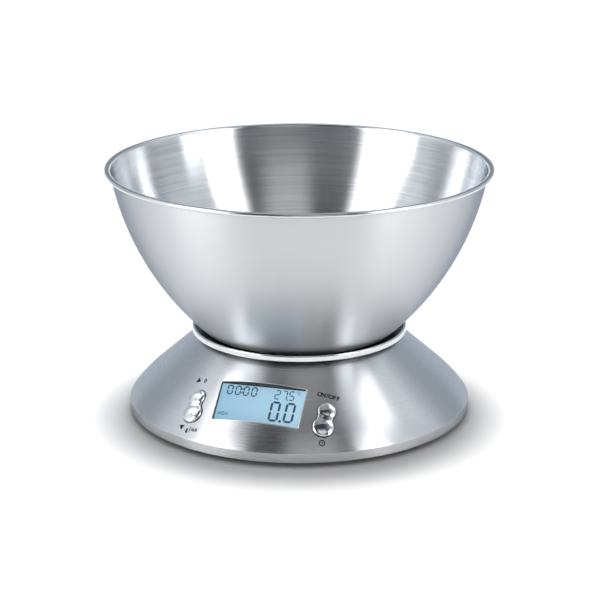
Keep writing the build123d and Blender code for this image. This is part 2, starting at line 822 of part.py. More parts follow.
for name, turn in cells.items():
    row = bay_centre - turn * battery_pitch / 2
    nub_face = turn * (bay_length / 2 - contact_thickness)
    with BuildPart() as battery:
        with BuildSketch(Plane.YZ.offset(nub_face)):
            with Locations((row, cell_axis_z)):
                Circle(battery_nub_radius)
        extrude(amount=-turn * battery_nub_length)
        with BuildSketch(Plane.YZ.offset(nub_face - turn * battery_nub_length)):
            with Locations((row, cell_axis_z)):
                Circle(battery_radius)
        extrude(amount=-turn * battery_length)
    write(battery, name)

# one plate joins the cells at their +X ends, two stand apart at the -X ends
with BuildPart() as battery_plates:
    with BuildSketch(Plane.YZ.offset(bay_length / 2)):
        with Locations((bay_centre, cell_axis_z)):
            Rectangle(battery_pitch + contact_width, contact_height)
    extrude(amount=-contact_thickness)
    with BuildSketch(Plane.YZ.offset(-bay_length / 2)):
        with Locations((bay_centre, cell_axis_z)):
            with GridLocations(battery_pitch, 0, 2, 1):
                Rectangle(contact_width, contact_height)
    extrude(amount=contact_thickness)
write(battery_plates, "battery_plates")

# bowed leaf springs press on the flat ends
with BuildPart() as battery_springs:
    for turn in cells.values():
        row = bay_centre - turn * battery_pitch / 2
        root = turn * (contact_thickness - bay_length / 2)
        with BuildSketch(Plane.XY.offset(cell_axis_z)):
            with BuildLine():
                for inset in (0, spring_sheet):
                    reach = spring_reach - inset
                    crest = (root + turn * (spring_length - inset), row)
                    ThreePointArc((root, row - reach), crest, (root, row + reach))
                Line((root, row - spring_reach), (root, row + spring_sheet - spring_reach))
                Line((root, row + spring_reach), (root, row - spring_sheet + spring_reach))
            make_face()
        extrude(amount=spring_width / 2, both=True)
write(battery_springs, "battery_springs")

# ---- battery door ------------------------------------------------------------------------

with BuildPart() as battery_door:
    with BuildSketch(Plane.YZ):
        with Locations((door_front, cover_bottom)):
            Rectangle(hinge_y - door_front, cover_floor, align=Align.MIN)
        with Locations((hinge_y, hinge_z)):
            Circle(hinge_radius)
    extrude(amount=door_length / 2, both=True)
    with BuildSketch(Plane.YZ):
        with Locations((hinge_y, hinge_z)):
            Circle(trunnion_radius)
    extrude(amount=door_length / 2 + trunnion_length, both=True)
    with BuildSketch(Plane.XY.offset(cover_bottom)):
        with Locations((0, door_front + latch_length / 2)):
            with GridLocations(latch_width, latch_length, 2, 1):
                Rectangle(latch_slot, latch_length)
    extrude(amount=cover_floor, mode=Mode.SUBTRACT)
    with BuildSketch(Plane.XY.offset(cover_bottom)):
        with Locations((0, door_front + latch_length)):
            with GridLocations(0, grip_pitch, 1, grip_count):
                Rectangle(grip_width, grip_groove_width)
    extrude(amount=grip_groove_depth, mode=Mode.SUBTRACT)
write(battery_door, "battery_door")
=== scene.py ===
"""Looks of a kitchen scale: a brushed steel bowl on a sprung tray, over a domed steel base.

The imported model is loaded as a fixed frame, in metres. The pieces that show most are modelled
here with a finer surface and stand for their CAD nodes. The others keep their solids and get
their finish. Sizes in the classes are millimetres.
"""

import json
import logging
import math
from collections.abc import Callable, Iterator, Sequence
from contextlib import contextmanager
from dataclasses import dataclass, field
from enum import Enum
from itertools import pairwise

import bpy
from mathutils import Matrix, Vector

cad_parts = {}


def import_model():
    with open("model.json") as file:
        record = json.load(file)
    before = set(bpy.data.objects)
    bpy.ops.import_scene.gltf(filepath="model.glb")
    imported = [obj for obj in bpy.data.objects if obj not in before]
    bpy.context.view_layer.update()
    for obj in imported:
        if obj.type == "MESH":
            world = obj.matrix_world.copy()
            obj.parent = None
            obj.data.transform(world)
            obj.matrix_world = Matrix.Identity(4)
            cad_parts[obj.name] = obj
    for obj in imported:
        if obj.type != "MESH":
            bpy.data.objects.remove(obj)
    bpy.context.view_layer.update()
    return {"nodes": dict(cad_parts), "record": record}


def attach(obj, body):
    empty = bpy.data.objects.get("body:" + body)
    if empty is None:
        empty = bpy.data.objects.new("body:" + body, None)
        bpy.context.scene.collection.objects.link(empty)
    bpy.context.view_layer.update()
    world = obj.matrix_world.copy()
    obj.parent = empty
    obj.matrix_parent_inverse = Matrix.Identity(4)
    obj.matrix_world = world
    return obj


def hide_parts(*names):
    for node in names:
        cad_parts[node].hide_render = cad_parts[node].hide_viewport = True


LOG = logging.getLogger("kitchen_scale")

MM = 0.001
QUARTER = math.pi / 2
MERGE_DISTANCE = 1e-6
SMOOTH_ANGLE = math.radians(32)

Point = tuple[float, float]
Colour = tuple[float, float, float]
Piece = bpy.types.Object
Look = bpy.types.Material
Node = bpy.types.Node
Socket = bpy.types.NodeSocket

WHITE: Colour = (1.0, 1.0, 1.0)


class Body(Enum):
    """Bodies of the frame that pieces ride on."""

    BASE = "base"
    PLATFORM = "platform"
    BOWL = "bowl"
    LEFT_BUTTON = "left_button"
    RIGHT_BUTTON = "right_button"


# ---- shader nodes ------------------------------------------------------------------------


def operator(kind: str, swapped: bool = False) -> Callable[..., "Value"]:
    """Make an operator of Value that adds one Math node.

    Args:
        kind: The Math node's operation.
        swapped: Whether the other number comes first, as in a reflected form.

    Returns:
        The operator, as a method.
    """

    def apply(value: "Value", *others: "Value | float") -> "Value":
        """Result of the Math node on the value and the other number, if there is one."""
        numbers = (*others, value) if swapped else (value, *others)
        return value.graph.number("ShaderNodeMath", {"operation": kind}, dict(enumerate(numbers)))

    return apply


class Value:
    """A number in a shader. Arithmetic on it adds Math nodes."""

    __add__, __radd__ = operator("ADD"), operator("ADD", swapped=True)
    __sub__, __rsub__ = operator("SUBTRACT"), operator("SUBTRACT", swapped=True)
    __mul__, __rmul__ = operator("MULTIPLY"), operator("MULTIPLY", swapped=True)
    __truediv__ = operator("DIVIDE")
    __abs__ = operator("ABSOLUTE")
    root = operator("SQRT")
    arcsine = operator("ARCSINE")
    angle_from = operator("ARCTAN2")
    smaller = operator("MINIMUM")

    def __init__(self, graph: "Graph", socket: Socket) -> None:
        """Wrap an output socket of a graph."""
        self.graph = graph
        self.socket = socket

    def rise(self, middle: float, half_width: float) -> "Value":
        """Smooth step from 0 to 1, which reaches a half width to either side of its middle."""
        inputs = {0: self, 1: middle - half_width, 2: middle + half_width}
        return self.graph.number("ShaderNodeMapRange", {"interpolation_type": "SMOOTHSTEP"}, inputs)

    def band(self, low: float, high: float, half_width: float) -> "Value":
        """1 between two limits and 0 outside them, with smooth edges."""
        return self.rise(low, half_width) * (1 - self.rise(high, half_width))


Number = Value | float
Given = Value | Socket | float | tuple


class Graph:
    """A node tree that is filled from an empty start."""

    def __init__(self, tree: bpy.types.NodeTree) -> None:
        """Take over a node tree and empty it."""
        self.tree = tree
        tree.nodes.clear()

    def fill(self, node: Node, inputs: dict[str | int, Given]) -> None:
        """Set or link input sockets.

        Args:
            node: The node whose sockets they are.
            inputs: What each socket gets, by name or index: a number, a colour, a vector,
                a Value or an output socket.
        """
        for name, given in inputs.items():
            source = given.socket if isinstance(given, Value) else given
            if isinstance(source, Socket):
                self.tree.links.new(source, node.inputs[name])
            else:
                node.inputs[name].default_value = source

    def node(
        self,
        kind: str,
        settings: dict[str, object] | None = None,
        inputs: dict[str | int, Given] | None = None,
    ) -> Node:
        """Add a node of any type.

        Args:
            kind: The node's type name.
            settings: The node's own properties, set before its sockets.
            inputs: What its input sockets get.

        Returns:
            The new node.
        """
        node = self.tree.nodes.new(kind)
        for name, setting in (settings or {}).items():
            setattr(node, name, setting)
        self.fill(node, inputs or {})
        return node

    def number(
        self, kind: str, settings: dict[str, object], inputs: dict[str | int, Given]
    ) -> Value:
        """Add a node and take its first output as a number."""
        return Value(self, self.node(kind, settings, inputs).outputs[0])

    def axes(self, vector: Socket) -> list[Value]:
        """Split a vector into its three numbers."""
        parts = self.node("ShaderNodeSeparateXYZ", inputs={0: vector}).outputs
        return [Value(self, part) for part in parts]

    def vector(self, x: Number, y: Number, z: Number) -> Socket:
        """Join three numbers into a vector."""
        return self.node("ShaderNodeCombineXYZ", inputs={0: x, 1: y, 2: z}).outputs[0]

    def noise(self, vector: Socket, scale: float, detail: float = 2.0) -> Value:
        """Noise from 0 to 1 over a vector."""
        inputs = {"Vector": vector, "Scale": scale, "Detail": detail}
        return self.number("ShaderNodeTexNoise", {}, inputs)

    def mix(self, factor: Number, first: Colour, second: Colour) -> Socket:
        """Blend two colours."""
        inputs = {0: factor, 6: (*first, 1.0), 7: (*second, 1.0)}
        return self.node("ShaderNodeMix", {"data_type": "RGBA"}, inputs).outputs[2]

    def background(self, colour: Colour, strength: Number) -> Socket:
        """Light of one colour from all round."""
        return self.node("ShaderNodeBackground", inputs={0: (*colour, 1.0), 1: strength}).outputs[0]

    def blend(self, kind: str, *inputs: Given) -> Socket:
        """Mix or add shaders, given in the order of the node's sockets."""
        return self.node(f"ShaderNode{kind}Shader", inputs=dict(enumerate(inputs))).outputs[0]

    def rays(self, *kinds: str) -> list[Value]:
        """Whether a ray is of each of the given kinds, as 1 or 0."""
        outputs = self.node("ShaderNodeLightPath").outputs
        return [Value(self, outputs[f"Is {kind} Ray"]) for kind in kinds]


class Coat(Graph):
    """Node tree of a material: one Principled shader and what feeds it."""

    def __init__(self, material: Look) -> None:
        """Give a material its shader.

        Args:
            material: The material, whose other nodes are deleted.
        """
        super().__init__(material.node_tree)
        self.shader = self.node("ShaderNodeBsdfPrincipled")
        self.node("ShaderNodeOutputMaterial", inputs={"Surface": self.shader.outputs[0]})
        self.place = self.node("ShaderNodeTexCoord").outputs["Object"]

    def put(self, **inputs: Given) -> None:
        """Fill the shader's sockets, by their names with _ for a space."""
        names = (name.replace("_", " ").title().replace("Ior", "IOR") for name in inputs)
        self.fill(self.shader, dict(zip(names, inputs.values())))

    def bump(self, height: Value, depth: float, strength: float = 1.0) -> Socket:
        """Normal of a surface with a height in shares of `depth` metres."""
        inputs = {"Strength": strength, "Distance": depth, "Height": height}
        return self.node("ShaderNodeBump", inputs=inputs).outputs[0]


# ---- finishes ----------------------------------------------------------------------------

NOISE_MIDDLE = 0.5


@dataclass(frozen=True)
class Finish:
    """A surface finish. Each kind fills its own Principled shader."""

    name: str

    def material(self) -> Look:
        """Make the Blender material.

        Returns:
            The material, with a shader that `dress` has filled.
        """
        material = bpy.data.materials.new(self.name)
        material.use_nodes = True
        self.dress(Coat(material))
        return material

    def dress(self, coat: Coat) -> None:
        """Fill the material's shader."""
        raise NotImplementedError


@dataclass(frozen=True)
class BrushedSteel(Finish):
    """Stainless steel brushed round the vertical axis.

    The brush lines run round the axis, so the pattern changes fast along the section and
    slowly round it. `lean` is 1 where height grows with radius, and -1 where it falls.
    """

    colour: Colour = (0.70, 0.70, 0.71)
    dark: Colour = (0.63, 0.635, 0.65)
    edge: Colour = (0.32, 0.36, 0.42)
    roughness: float = 0.34
    spread: float = 0.04
    anisotropy: float = 0.9
    brush_turn: float = 0.25
    lean: float = 1.0
    line_scale: float = 1500.0
    band_scale: float = 300.0
    patch_scale: float = 40.0
    turns: float = 1.3
    line_share: float = 0.7
    band_share: float = 0.3
    wear_shares: Colour = (0.5, 0.3, 0.2)
    softness: float = 0.28
    line_depth: float = 5e-7

    def dress(self, coat: Coat) -> None:
        """Add brush lines, wider bands and soft patches.

        Args:
            coat: The material's shader.
        """
        x, y, z = coat.axes(coat.place)
        radius = (x * x + y * y + MERGE_DISTANCE).root()
        along = radius + self.lean * z
        east, north = x / radius * self.turns, y / radius * self.turns
        lines = coat.noise(coat.vector(east, north, along * self.line_scale), 1.0)
        bands = coat.noise(coat.vector(east, north, along * self.band_scale), 1.0, 3.0)
        patches = coat.noise(coat.place, self.patch_scale)
        streaks = self.line_share * lines + self.band_share * bands
        shade = streaks.rise(NOISE_MIDDLE, self.softness)
        wear = sum(share * noise for share, noise in zip(self.wear_shares, (lines, bands, patches)))
        coat.put(
            base_color=coat.mix(shade, self.dark, self.colour),
            roughness=self.roughness + self.spread * (wear - NOISE_MIDDLE),
            normal=coat.bump(lines, self.line_depth),
            metallic=1.0,
            anisotropic=self.anisotropy,
            anisotropic_rotation=self.brush_turn,
            specular_tint=(*self.edge, 1.0),
        )


@dataclass(frozen=True)
class Polished(Finish):
    """Bright metal with faint wiping marks."""

    colour: Colour = (0.78, 0.79, 0.80)
    haze: Colour = (0.70, 0.71, 0.73)
    roughness: float = 0.07
    spread: float = 0.05
    mark_scale: float = 260.0
    softness: float = 0.3

    def dress(self, coat: Coat) -> None:
        """Add a bright metal with soft haze.

        Args:
            coat: The material's shader.
        """
        marks = coat.noise(coat.place, self.mark_scale, 3.0)
        shade = marks.rise(NOISE_MIDDLE, self.softness)
        coat.put(
            base_color=coat.mix(shade, self.haze, self.colour),
            roughness=self.roughness + self.spread * marks,
            metallic=1.0,
        )


@dataclass(frozen=True)
class Moulded(Finish):
    """Moulded plastic, rubber or resin, or milled metal, with a fine grain."""

    colour: Colour = (0.03, 0.03, 0.032)
    worn: Colour = (0.05, 0.05, 0.052)
    roughness: float = 0.5
    spread: float = 0.12
    softness: float = 0.25
    grain_scale: float = 1600.0
    tone_scale: float = 64.0
    grain_depth: float = 2e-5
    grain_strength: float = 0.5
    metallic: float = 0.0

    def dress(self, coat: Coat) -> None:
        """Add a grained surface and slow changes of tone.

        Args:
            coat: The material's shader.
        """
        grain = coat.noise(coat.place, self.grain_scale)
        tone = coat.noise(coat.place, self.tone_scale, 4.0)
        coat.put(
            base_color=coat.mix(tone.rise(NOISE_MIDDLE, self.softness), self.colour, self.worn),
            roughness=self.roughness + self.spread * (tone - NOISE_MIDDLE),
            normal=coat.bump(grain, self.grain_depth, self.grain_strength),
            metallic=self.metallic,
        )


@dataclass(frozen=True)
class BacklitGlass(Finish):
    """Display glass lit from behind, a little paler towards its right lower end.

    `fade` is how fast the paleness grows to the right and upwards, per metre.
    """

    colour: Colour = (0.25, 0.48, 0.66)
    pale: Colour = (0.48, 0.70, 0.83)
    fade: Point = (14.0, -10.0)
    fade_start: float = -0.25
    fade_softness: float = 0.6
    fade_share: float = 0.75
    cloud_scale: float = 90.0
    cloud_share: float = 0.35
    roughness: float = 0.2
    glow: float = 0.6

    def dress(self, coat: Coat) -> None:
        """Add a soft glow across the display.

        Args:
            coat: The material's shader.
        """
        x, _, z = coat.axes(coat.place)
        across = (x * self.fade[0] + z * self.fade[1]).rise(self.fade_start, self.fade_softness)
        cloud = coat.noise(coat.place, self.cloud_scale, 1.0)
        paleness = (across * self.fade_share + cloud * self.cloud_share).smaller(1.0)
        colour = coat.mix(paleness, self.colour, self.pale)
        coat.put(base_color=colour, emission_color=colour)
        coat.put(emission_strength=self.glow, roughness=self.roughness)


@dataclass(frozen=True)
class Ink(Finish):
    """Print or display segments: flat colour with a slight change of tone."""

    colour: Colour = (0.004, 0.004, 0.005)
    pale: Colour = (0.01, 0.01, 0.011)
    tone_scale: float = 900.0
    roughness: float = 0.6
    shine: float = 0.2
    glow: float = 0.0

    def dress(self, coat: Coat) -> None:
        """Add the ink's tone.

        Args:
            coat: The material's shader.
        """
        colour = coat.mix(coat.noise(coat.place, self.tone_scale), self.colour, self.pale)
        coat.put(base_color=colour, emission_color=colour, emission_strength=self.glow)
        coat.put(roughness=self.roughness, specular_ior_level=self.shine)


@dataclass(frozen=True)
class ClearAcrylic(Finish):
    """Clear window: almost nothing but its gloss and a faint haze."""

    colour: Colour = (0.9, 0.95, 1.0)
    haze: float = 0.042
    smears: float = 0.036
    smear_scale: float = 120.0
    roughness: float = 0.04
    ior: float = 1.49

    def dress(self, coat: Coat) -> None:
        """Add a faint, glossy film.

        Args:
            coat: The material's shader.
        """
        smears = coat.noise(coat.place, self.smear_scale)
        coat.put(alpha=self.haze + self.smears * smears, base_color=(*self.colour, 1.0))
        coat.put(roughness=self.roughness, ior=self.ior)


BOWL_OUTSIDE = BrushedSteel(
    "bowl_outer_steel",
    colour=(0.685, 0.695, 0.715),
    dark=(0.64, 0.65, 0.675),
    softness=0.55,
    line_depth=3e-7,
)
BOWL_INSIDE = BrushedSteel(
    "bowl_inner_steel",
    colour=(0.80, 0.80, 0.81),
    dark=(0.61, 0.62, 0.64),
    edge=(0.96, 0.97, 0.99),
    roughness=0.22,
    line_scale=1200.0,
    softness=0.32,
    line_depth=4e-7,
)
DOME_STEEL = BrushedSteel(
    "dome_brushed_steel",
    colour=(0.62, 0.625, 0.64),
    dark=(0.585, 0.59, 0.605),
    edge=(0.50, 0.54, 0.60),
    lean=-1.0,
    roughness=0.27,
    softness=0.5,
    line_depth=3e-7,
)
# painted shade: the steel tray's floor and its downward faces are drawn black, for the shade in the
# recess under the bowl's foot and in the gap under the rim
TRAY_PAINTED_SHADE = Moulded(
    "tray_painted_shade_black", (0.012, 0.012, 0.013), (0.02, 0.02, 0.021), roughness=0.35
)
BRIGHT_RIM = Polished("rim_bright_steel")
CHROME = Polished("button_chrome", (0.86, 0.87, 0.88), (0.8, 0.81, 0.82), roughness=0.04)
SEGMENTS = Ink(
    "display_segments", (0.016, 0.06, 0.10), (0.03, 0.08, 0.13), roughness=0.45, glow=0.4
)
BLACK_PRINT = Ink("black_print")
RUBBER = Moulded("foot_rubber", (0.02, 0.02, 0.02), (0.035, 0.035, 0.035), roughness=0.8)

# finish of each material slot whose CAD solids are shown as they are
SLOT_FINISHES: dict[str, Finish] = {
    "window_clear": ClearAcrylic("window_acrylic"),
    "lcd_pale_blue": BacklitGlass("display_glass"),
    "light_guide_white": Moulded(
        "light_guide", (0.85, 0.87, 0.9), (0.9, 0.92, 0.94), roughness=0.3
    ),
    "contact_rubber": RUBBER,
    "circuit_board": Moulded(
        "green_circuit_board", (0.02, 0.12, 0.05), (0.03, 0.16, 0.07), roughness=0.35
    ),
    "epoxy_black": Moulded("black_resin", roughness=0.25),
    "switch_black": Moulded("switch_plastic", roughness=0.45),
    "housing_abs": Moulded("black_housing_abs", (0.02, 0.02, 0.022), (0.035, 0.035, 0.037)),
    "base_abs": Moulded("black_abs", roughness=0.55, grain_depth=4e-5),
    "foot_rubber": RUBBER,
    "beam_aluminium": Moulded(
        "milled_aluminium", (0.72, 0.73, 0.74), (0.8, 0.81, 0.82), roughness=0.35, metallic=1.0
    ),
    "gauge_film": Moulded("gauge_film", (0.5, 0.2, 0.03), (0.6, 0.27, 0.05), roughness=0.3),
    "screw_steel": Moulded(
        "zinc_plated_steel", (0.5, 0.5, 0.52), (0.66, 0.66, 0.66), roughness=0.3, metallic=1.0
    ),
    "battery_sleeve": Moulded(
        "battery_sleeve", (0.03, 0.04, 0.05), (0.05, 0.06, 0.07), roughness=0.3
    ),
    "contact_nickel": Polished(
        "contact_nickel", (0.75, 0.74, 0.70), (0.6, 0.59, 0.55), roughness=0.2
    ),
}


# ---- modelling steps ---------------------------------------------------------------------


@dataclass(frozen=True)
class Seat:
    """A plane that a piece sits on, in the row frame and in millimetres."""

    origin: Vector
    across: Vector
    normal: Vector

    def matrix(self, lift: float = 0.0) -> Matrix:
        """Placement of a piece drawn flat at the origin.

        Args:
            lift: How far above the plane the piece's zero lies, in millimetres.

        Returns:
            A matrix in metres whose X, Y and Z are across, up the plane and the normal.
        """
        up = self.normal.cross(self.across)
        turn = Matrix((self.across, up, self.normal)).transposed().to_4x4()
        return Matrix.Translation((self.origin + self.normal * lift) * MM) @ turn


class Outline:
    """Run of points in a plane, in millimetres. A half section has (radius, height)."""

    def __init__(self, *start: float) -> None:
        """Start the outline at a point."""
        self.points: list[Point] = [start]

    def line(self, *corners: Point) -> "Outline":
        """Add straight runs.

        Args:
            *corners: The points that they go to. One that repeats the last point is left out.

        Returns:
            The outline itself.
        """
        for corner in corners:
            if math.dist(corner, self.points[-1]) > MERGE_DISTANCE / MM:
                self.points.append(corner)
        return self

    def arc(self, centre: Point, radius: float, start: float, end: float, steps: int) -> "Outline":
        """Add an arc, with a straight run to its start.

        Args:
            centre: Centre of the arc.
            radius: Radius of the arc.
            start: Angle of its start, in radians from the first axis.
            end: Angle of its end.
            steps: Number of chords.

        Returns:
            The outline itself.
        """
        x, y = centre
        angles = (start + (end - start) * step / steps for step in range(steps + 1))
        return self.line(*((x + radius * math.cos(a), y + radius * math.sin(a)) for a in angles))


class Bench:
    """Modelling steps that the pieces share. Each leaves its piece active and selected."""

    @staticmethod
    def take(*pieces: Piece) -> None:
        """Select the given pieces alone, with the first one active.

        Args:
            *pieces: The pieces, or none to deselect everything.
        """
        bpy.ops.object.select_all(action="DESELECT")
        for piece in pieces:
            piece.select_set(True)
        if pieces:
            bpy.context.view_layer.objects.active = pieces[0]

    @staticmethod
    @contextmanager
    def editing() -> Iterator[None]:
        """Edit the active piece, with all of it selected.

        Yields:
            Nothing. The piece is in object mode again afterwards.
        """
        bpy.ops.object.mode_set(mode="EDIT")
        bpy.ops.mesh.select_all(action="SELECT")
        yield
        bpy.ops.object.mode_set(mode="OBJECT")

    @staticmethod
    def named(name: str) -> Piece:
        """Name the active piece and its mesh.

        Args:
            name: The new name.

        Returns:
            The piece.
        """
        piece = bpy.context.object
        piece.name = name
        piece.data.name = name
        return piece

    @classmethod
    def add(
        cls, name: str, kind: str, scale: Sequence[float] = (1, 1, 1), **settings: object
    ) -> Piece:
        """Add a primitive and leave its place and scale in its mesh.

        Args:
            name: Name of the piece.
            kind: What the primitive is, as in its operator's name.
            scale: Scale along its own axes.
            **settings: What else the operator gets, in metres.

        Returns:
            The piece.
        """
        cls.take()
        getattr(bpy.ops.mesh, f"primitive_{kind}_add")(**settings)
        piece = cls.named(name)
        piece.scale = scale
        bpy.ops.object.transform_apply()
        return piece

    @classmethod
    def sheet(cls, name: str, width: float, height: float, middle: Point = (0, 0)) -> Piece:
        """Add a flat rectangle.

        Args:
            name: Name of the piece.
            width: Its size along X, in millimetres.
            height: Its size along Y.
            middle: The place of its middle.

        Returns:
            The piece, on the plane through the origin.
        """
        place = Vector((*middle, 0)) * MM
        return cls.add(name, "plane", (width, height, 1), size=MM, location=place)

    @classmethod
    def rod(cls, name: str, radius: float, low: Vector, high: Vector, **settings: object) -> Piece:
        """Add a cylinder between two points, in millimetres.

        Args:
            name: Name of the piece.
            radius: Its radius.
            low: Middle of one end.
            high: Middle of the other end.
            **settings: What else the operator gets.

        Returns:
            The piece.
        """
        run = high - low
        turn = run.to_track_quat("Z", "Y").to_euler()
        place = {"location": (low + high) / 2 * MM, "rotation": turn}
        size = {"radius": radius * MM, "depth": run.length * MM}
        return cls.add(name, "cylinder", **size, **place, **settings)

    @classmethod
    def spin(cls, name: str, outline: Outline, steps: int) -> Piece:
        """Spin an outline round the vertical axis.

        Args:
            name: Name of the piece.
            outline: Half section, which starts and ends on the axis or ends where it starts.
            steps: Number of steps round the axis.

        Returns:
            The closed piece, with smooth shading.
        """
        places = [Vector((radius, 0, height)) * MM for radius, height in outline.points]
        piece = cls.add(name, "plane", size=MM, location=places[0])
        with cls.editing():
            bpy.ops.mesh.select_mode(type="VERT")
            bpy.ops.mesh.merge(type="CENTER")
            for here, there in pairwise(places):
                bpy.ops.mesh.extrude_region_move(TRANSFORM_OT_translate={"value": there - here})
            bpy.ops.mesh.select_all(action="SELECT")
            bpy.ops.mesh.spin(steps=steps, angle=math.tau, center=(0, 0, 0), axis=(0, 0, 1))
            bpy.ops.mesh.select_all(action="SELECT")
            bpy.ops.mesh.remove_doubles(threshold=MERGE_DISTANCE)
            bpy.ops.mesh.normals_make_consistent(inside=False)
        bpy.ops.object.shade_smooth_by_angle(angle=SMOOTH_ANGLE)
        return piece

    @classmethod
    def place(cls, piece: Piece, matrix: Matrix) -> Piece:
        """Put a piece somewhere and leave the place in its mesh.

        Args:
            piece: The piece.
            matrix: Its placement, in metres.

        Returns:
            The piece.
        """
        cls.take(piece)
        piece.matrix_world = matrix @ piece.matrix_world
        bpy.ops.object.transform_apply()
        return piece

    @classmethod
    def modify(cls, piece: Piece, kind: str, **settings: object) -> Piece:
        """Add a modifier and apply it.

        Args:
            piece: The piece to change.
            kind: The modifier's type name.
            **settings: The modifier's own properties.

        Returns:
            The changed piece.
        """
        cls.take(piece)
        modifier = piece.modifiers.new(kind.lower(), kind)
        for name, setting in settings.items():
            setattr(modifier, name, setting)
        bpy.ops.object.modifier_apply(modifier=modifier.name)
        return piece

    @classmethod
    def cut(cls, piece: Piece, cutter: Piece) -> None:
        """Cut one piece with another, which is used up."""
        cls.modify(piece, "BOOLEAN", operation="DIFFERENCE", solver="EXACT", object=cutter)
        bpy.data.objects.remove(cutter)

    @classmethod
    def join(cls, name: str, pieces: list[Piece]) -> Piece:
        """Join several pieces into one mesh.

        Args:
            name: Name of the whole.
            pieces: The pieces, which are used up.

        Returns:
            The whole.
        """
        cls.take(*pieces)
        bpy.ops.object.join()
        return cls.named(name)


def finish(piece: Piece, look: Look, body: Body, slot: str, *nodes: str) -> Piece:
    """Dress a finished piece and tie it to the frame.

    Args:
        piece: The piece.
        look: Its material.
        body: The body that it rides on.
        slot: The record's material slot of the piece. Not used.
        *nodes: The CAD nodes that it stands for.

    Returns:
        The piece.
    """
    piece.data.materials.clear()
    piece.data.materials.append(look)
    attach(piece, body.value)
    if nodes:
        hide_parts(*nodes)
    LOG.info("%s: %d faces, on %s", piece.name, len(piece.data.polygons), body.value)
    return piece


# ---- mixing bowl -------------------------------------------------------------------------


@dataclass
class MixingBowl:
    """Deep bowl of thin sheet, with one swelling side and a narrow flange that ends in a bead."""

    rim_radius: float = 107.0
    flange_width: float = 3.2
    foot_radius: float = 52.4
    seat: float = 46.9
    height: float = 93.1
    bulge: float = 9.1
    foot_rounding: float = 7.0
    throat_rounding: float = 1.1
    sheet: float = 0.6
    bead_radius: float = 1.1
    side_steps: int = 40
    bend_steps: int = 8
    bead_steps: int = 20
    steps: int = 288

    def outline(self) -> Outline:
        """Half section of the bowl.

        Returns:
            Outline from the outside bottom, over the rim, to the inside bottom.
        """
        top = self.seat + self.height
        under = top - self.sheet
        throat = self.rim_radius - self.flange_width
        run, rise = throat - self.foot_radius, under - self.seat
        chord = math.hypot(run, rise)
        radius = (chord**2 / 4 + self.bulge**2) / (2 * self.bulge)
        setback = (radius - self.bulge) / chord
        middle_r = (self.foot_radius + throat) / 2 - setback * rise
        middle_z = (self.seat + under) / 2 + setback * run

        def bend(level: float, reach: float) -> tuple[Point, float]:
            """Centre of a rounding at a level and a reach from the side's centre, and its angle."""
            angle = math.asin((level - middle_z) / reach)
            return (middle_r + reach * math.cos(angle), level), angle

        side = (middle_r, middle_z)
        foot, low = bend(self.seat + self.foot_rounding, radius - self.foot_rounding)
        neck, high = bend(under - self.throat_rounding, radius + self.throat_rounding)
        bead = (self.rim_radius - self.bead_radius, top - self.bead_radius)
        root = math.pi - math.asin(1 - self.sheet / self.bead_radius)
        neck_inside = self.throat_rounding + self.sheet
        bends, turn = self.bend_steps, math.pi
        return (
            Outline(0, self.seat)
            .arc(foot, self.foot_rounding, -QUARTER, low, bends)
            .arc(side, radius, low, high, self.side_steps)
            .arc(neck, self.throat_rounding, high + turn, QUARTER, bends)
            .arc(bead, self.bead_radius, root, 5 * QUARTER, self.bead_steps)
            .arc(neck, neck_inside, QUARTER, high + turn, bends)
            .arc(side, radius - self.sheet, high, low, self.side_steps)
            .arc(foot, self.foot_rounding - self.sheet, low, -QUARTER, bends)
            .line((0, self.seat + self.sheet))
        )

    def build(self, outer: Look, inner: Look, bead: Look) -> None:
        """Spin the bowl and dress it.

        Args:
            outer: Material of the outside.
            inner: Material of the inside.
            bead: Material of the flange and its rolled edge.
        """
        piece = Bench.spin("mixing_bowl_shell", self.outline(), self.steps)
        finish(piece, outer, Body.BOWL, "bowl_steel", "mixing_bowl")
        piece.data.materials.append(inner)
        piece.data.materials.append(bead)
        mouth = Vector((0, 0, self.seat + self.height)) * MM
        for face in piece.data.polygons:
            inwards = face.normal.dot(mouth - face.center) > 0
            on_rim = face.center.xy.length > (self.rim_radius - self.flange_width) * MM
            face.material_index = 2 if on_rim else int(inwards)


# ---- weighing tray -----------------------------------------------------------------------


@dataclass
class WeighingTray:
    """Round tray under the bowl: bright rolled rim; floor and underside black, as painted shade."""

    rim_radius: float = 60.1
    rim_width: float = 1.7
    underside: float = 45.9
    rim_height: float = 3.4
    recess: float = 2.4
    sheet: float = 0.6
    rounding: float = 0.7
    floor_radius: float = 57.9
    # faces whose normal points lower than this get the black painted shade
    beneath: float = -0.5
    steps: int = 240

    def outline(self) -> Outline:
        """Half section of the tray.

        Returns:
            Outline from the middle of its underside to the middle of its floor.
        """
        top = self.underside + self.rim_height
        floor = top - self.recess
        inner = self.rim_radius - self.rim_width
        r = self.rounding
        return (
            Outline(0, floor - self.sheet)
            .line((inner, floor - self.sheet))
            .arc((inner + r, self.underside + r), r, math.pi, 3 * QUARTER, 5)
            .arc((self.rim_radius - r, self.underside + r), r, -QUARTER, 0, 6)
            .arc((self.rim_radius - r, top - r), r, 0, QUARTER, 8)
            .arc((inner + r, top - r), r, QUARTER, math.pi, 8)
            .line((inner, floor), (0, floor))
        )

    def build(self, rim_look: Look, painted_shade_look: Look) -> None:
        """Spin the tray and dress it.

        Args:
            rim_look: Material of the rim.
            painted_shade_look: Black painted shade for the floor and for what faces down.
        """
        piece = Bench.spin("weighing_tray_shell", self.outline(), self.steps)
        finish(piece, rim_look, Body.PLATFORM, "tray_steel", "weighing_tray")
        piece.data.materials.append(painted_shade_look)
        # painted shade: the floor and the faces under the rim take the black look, for the shade
        # there
        for face in piece.data.polygons:
            on_floor = face.center.xy.length < self.floor_radius * MM
            face.material_index = int(on_floor or face.normal.z < self.beneath)


# ---- domed base --------------------------------------------------------------------------


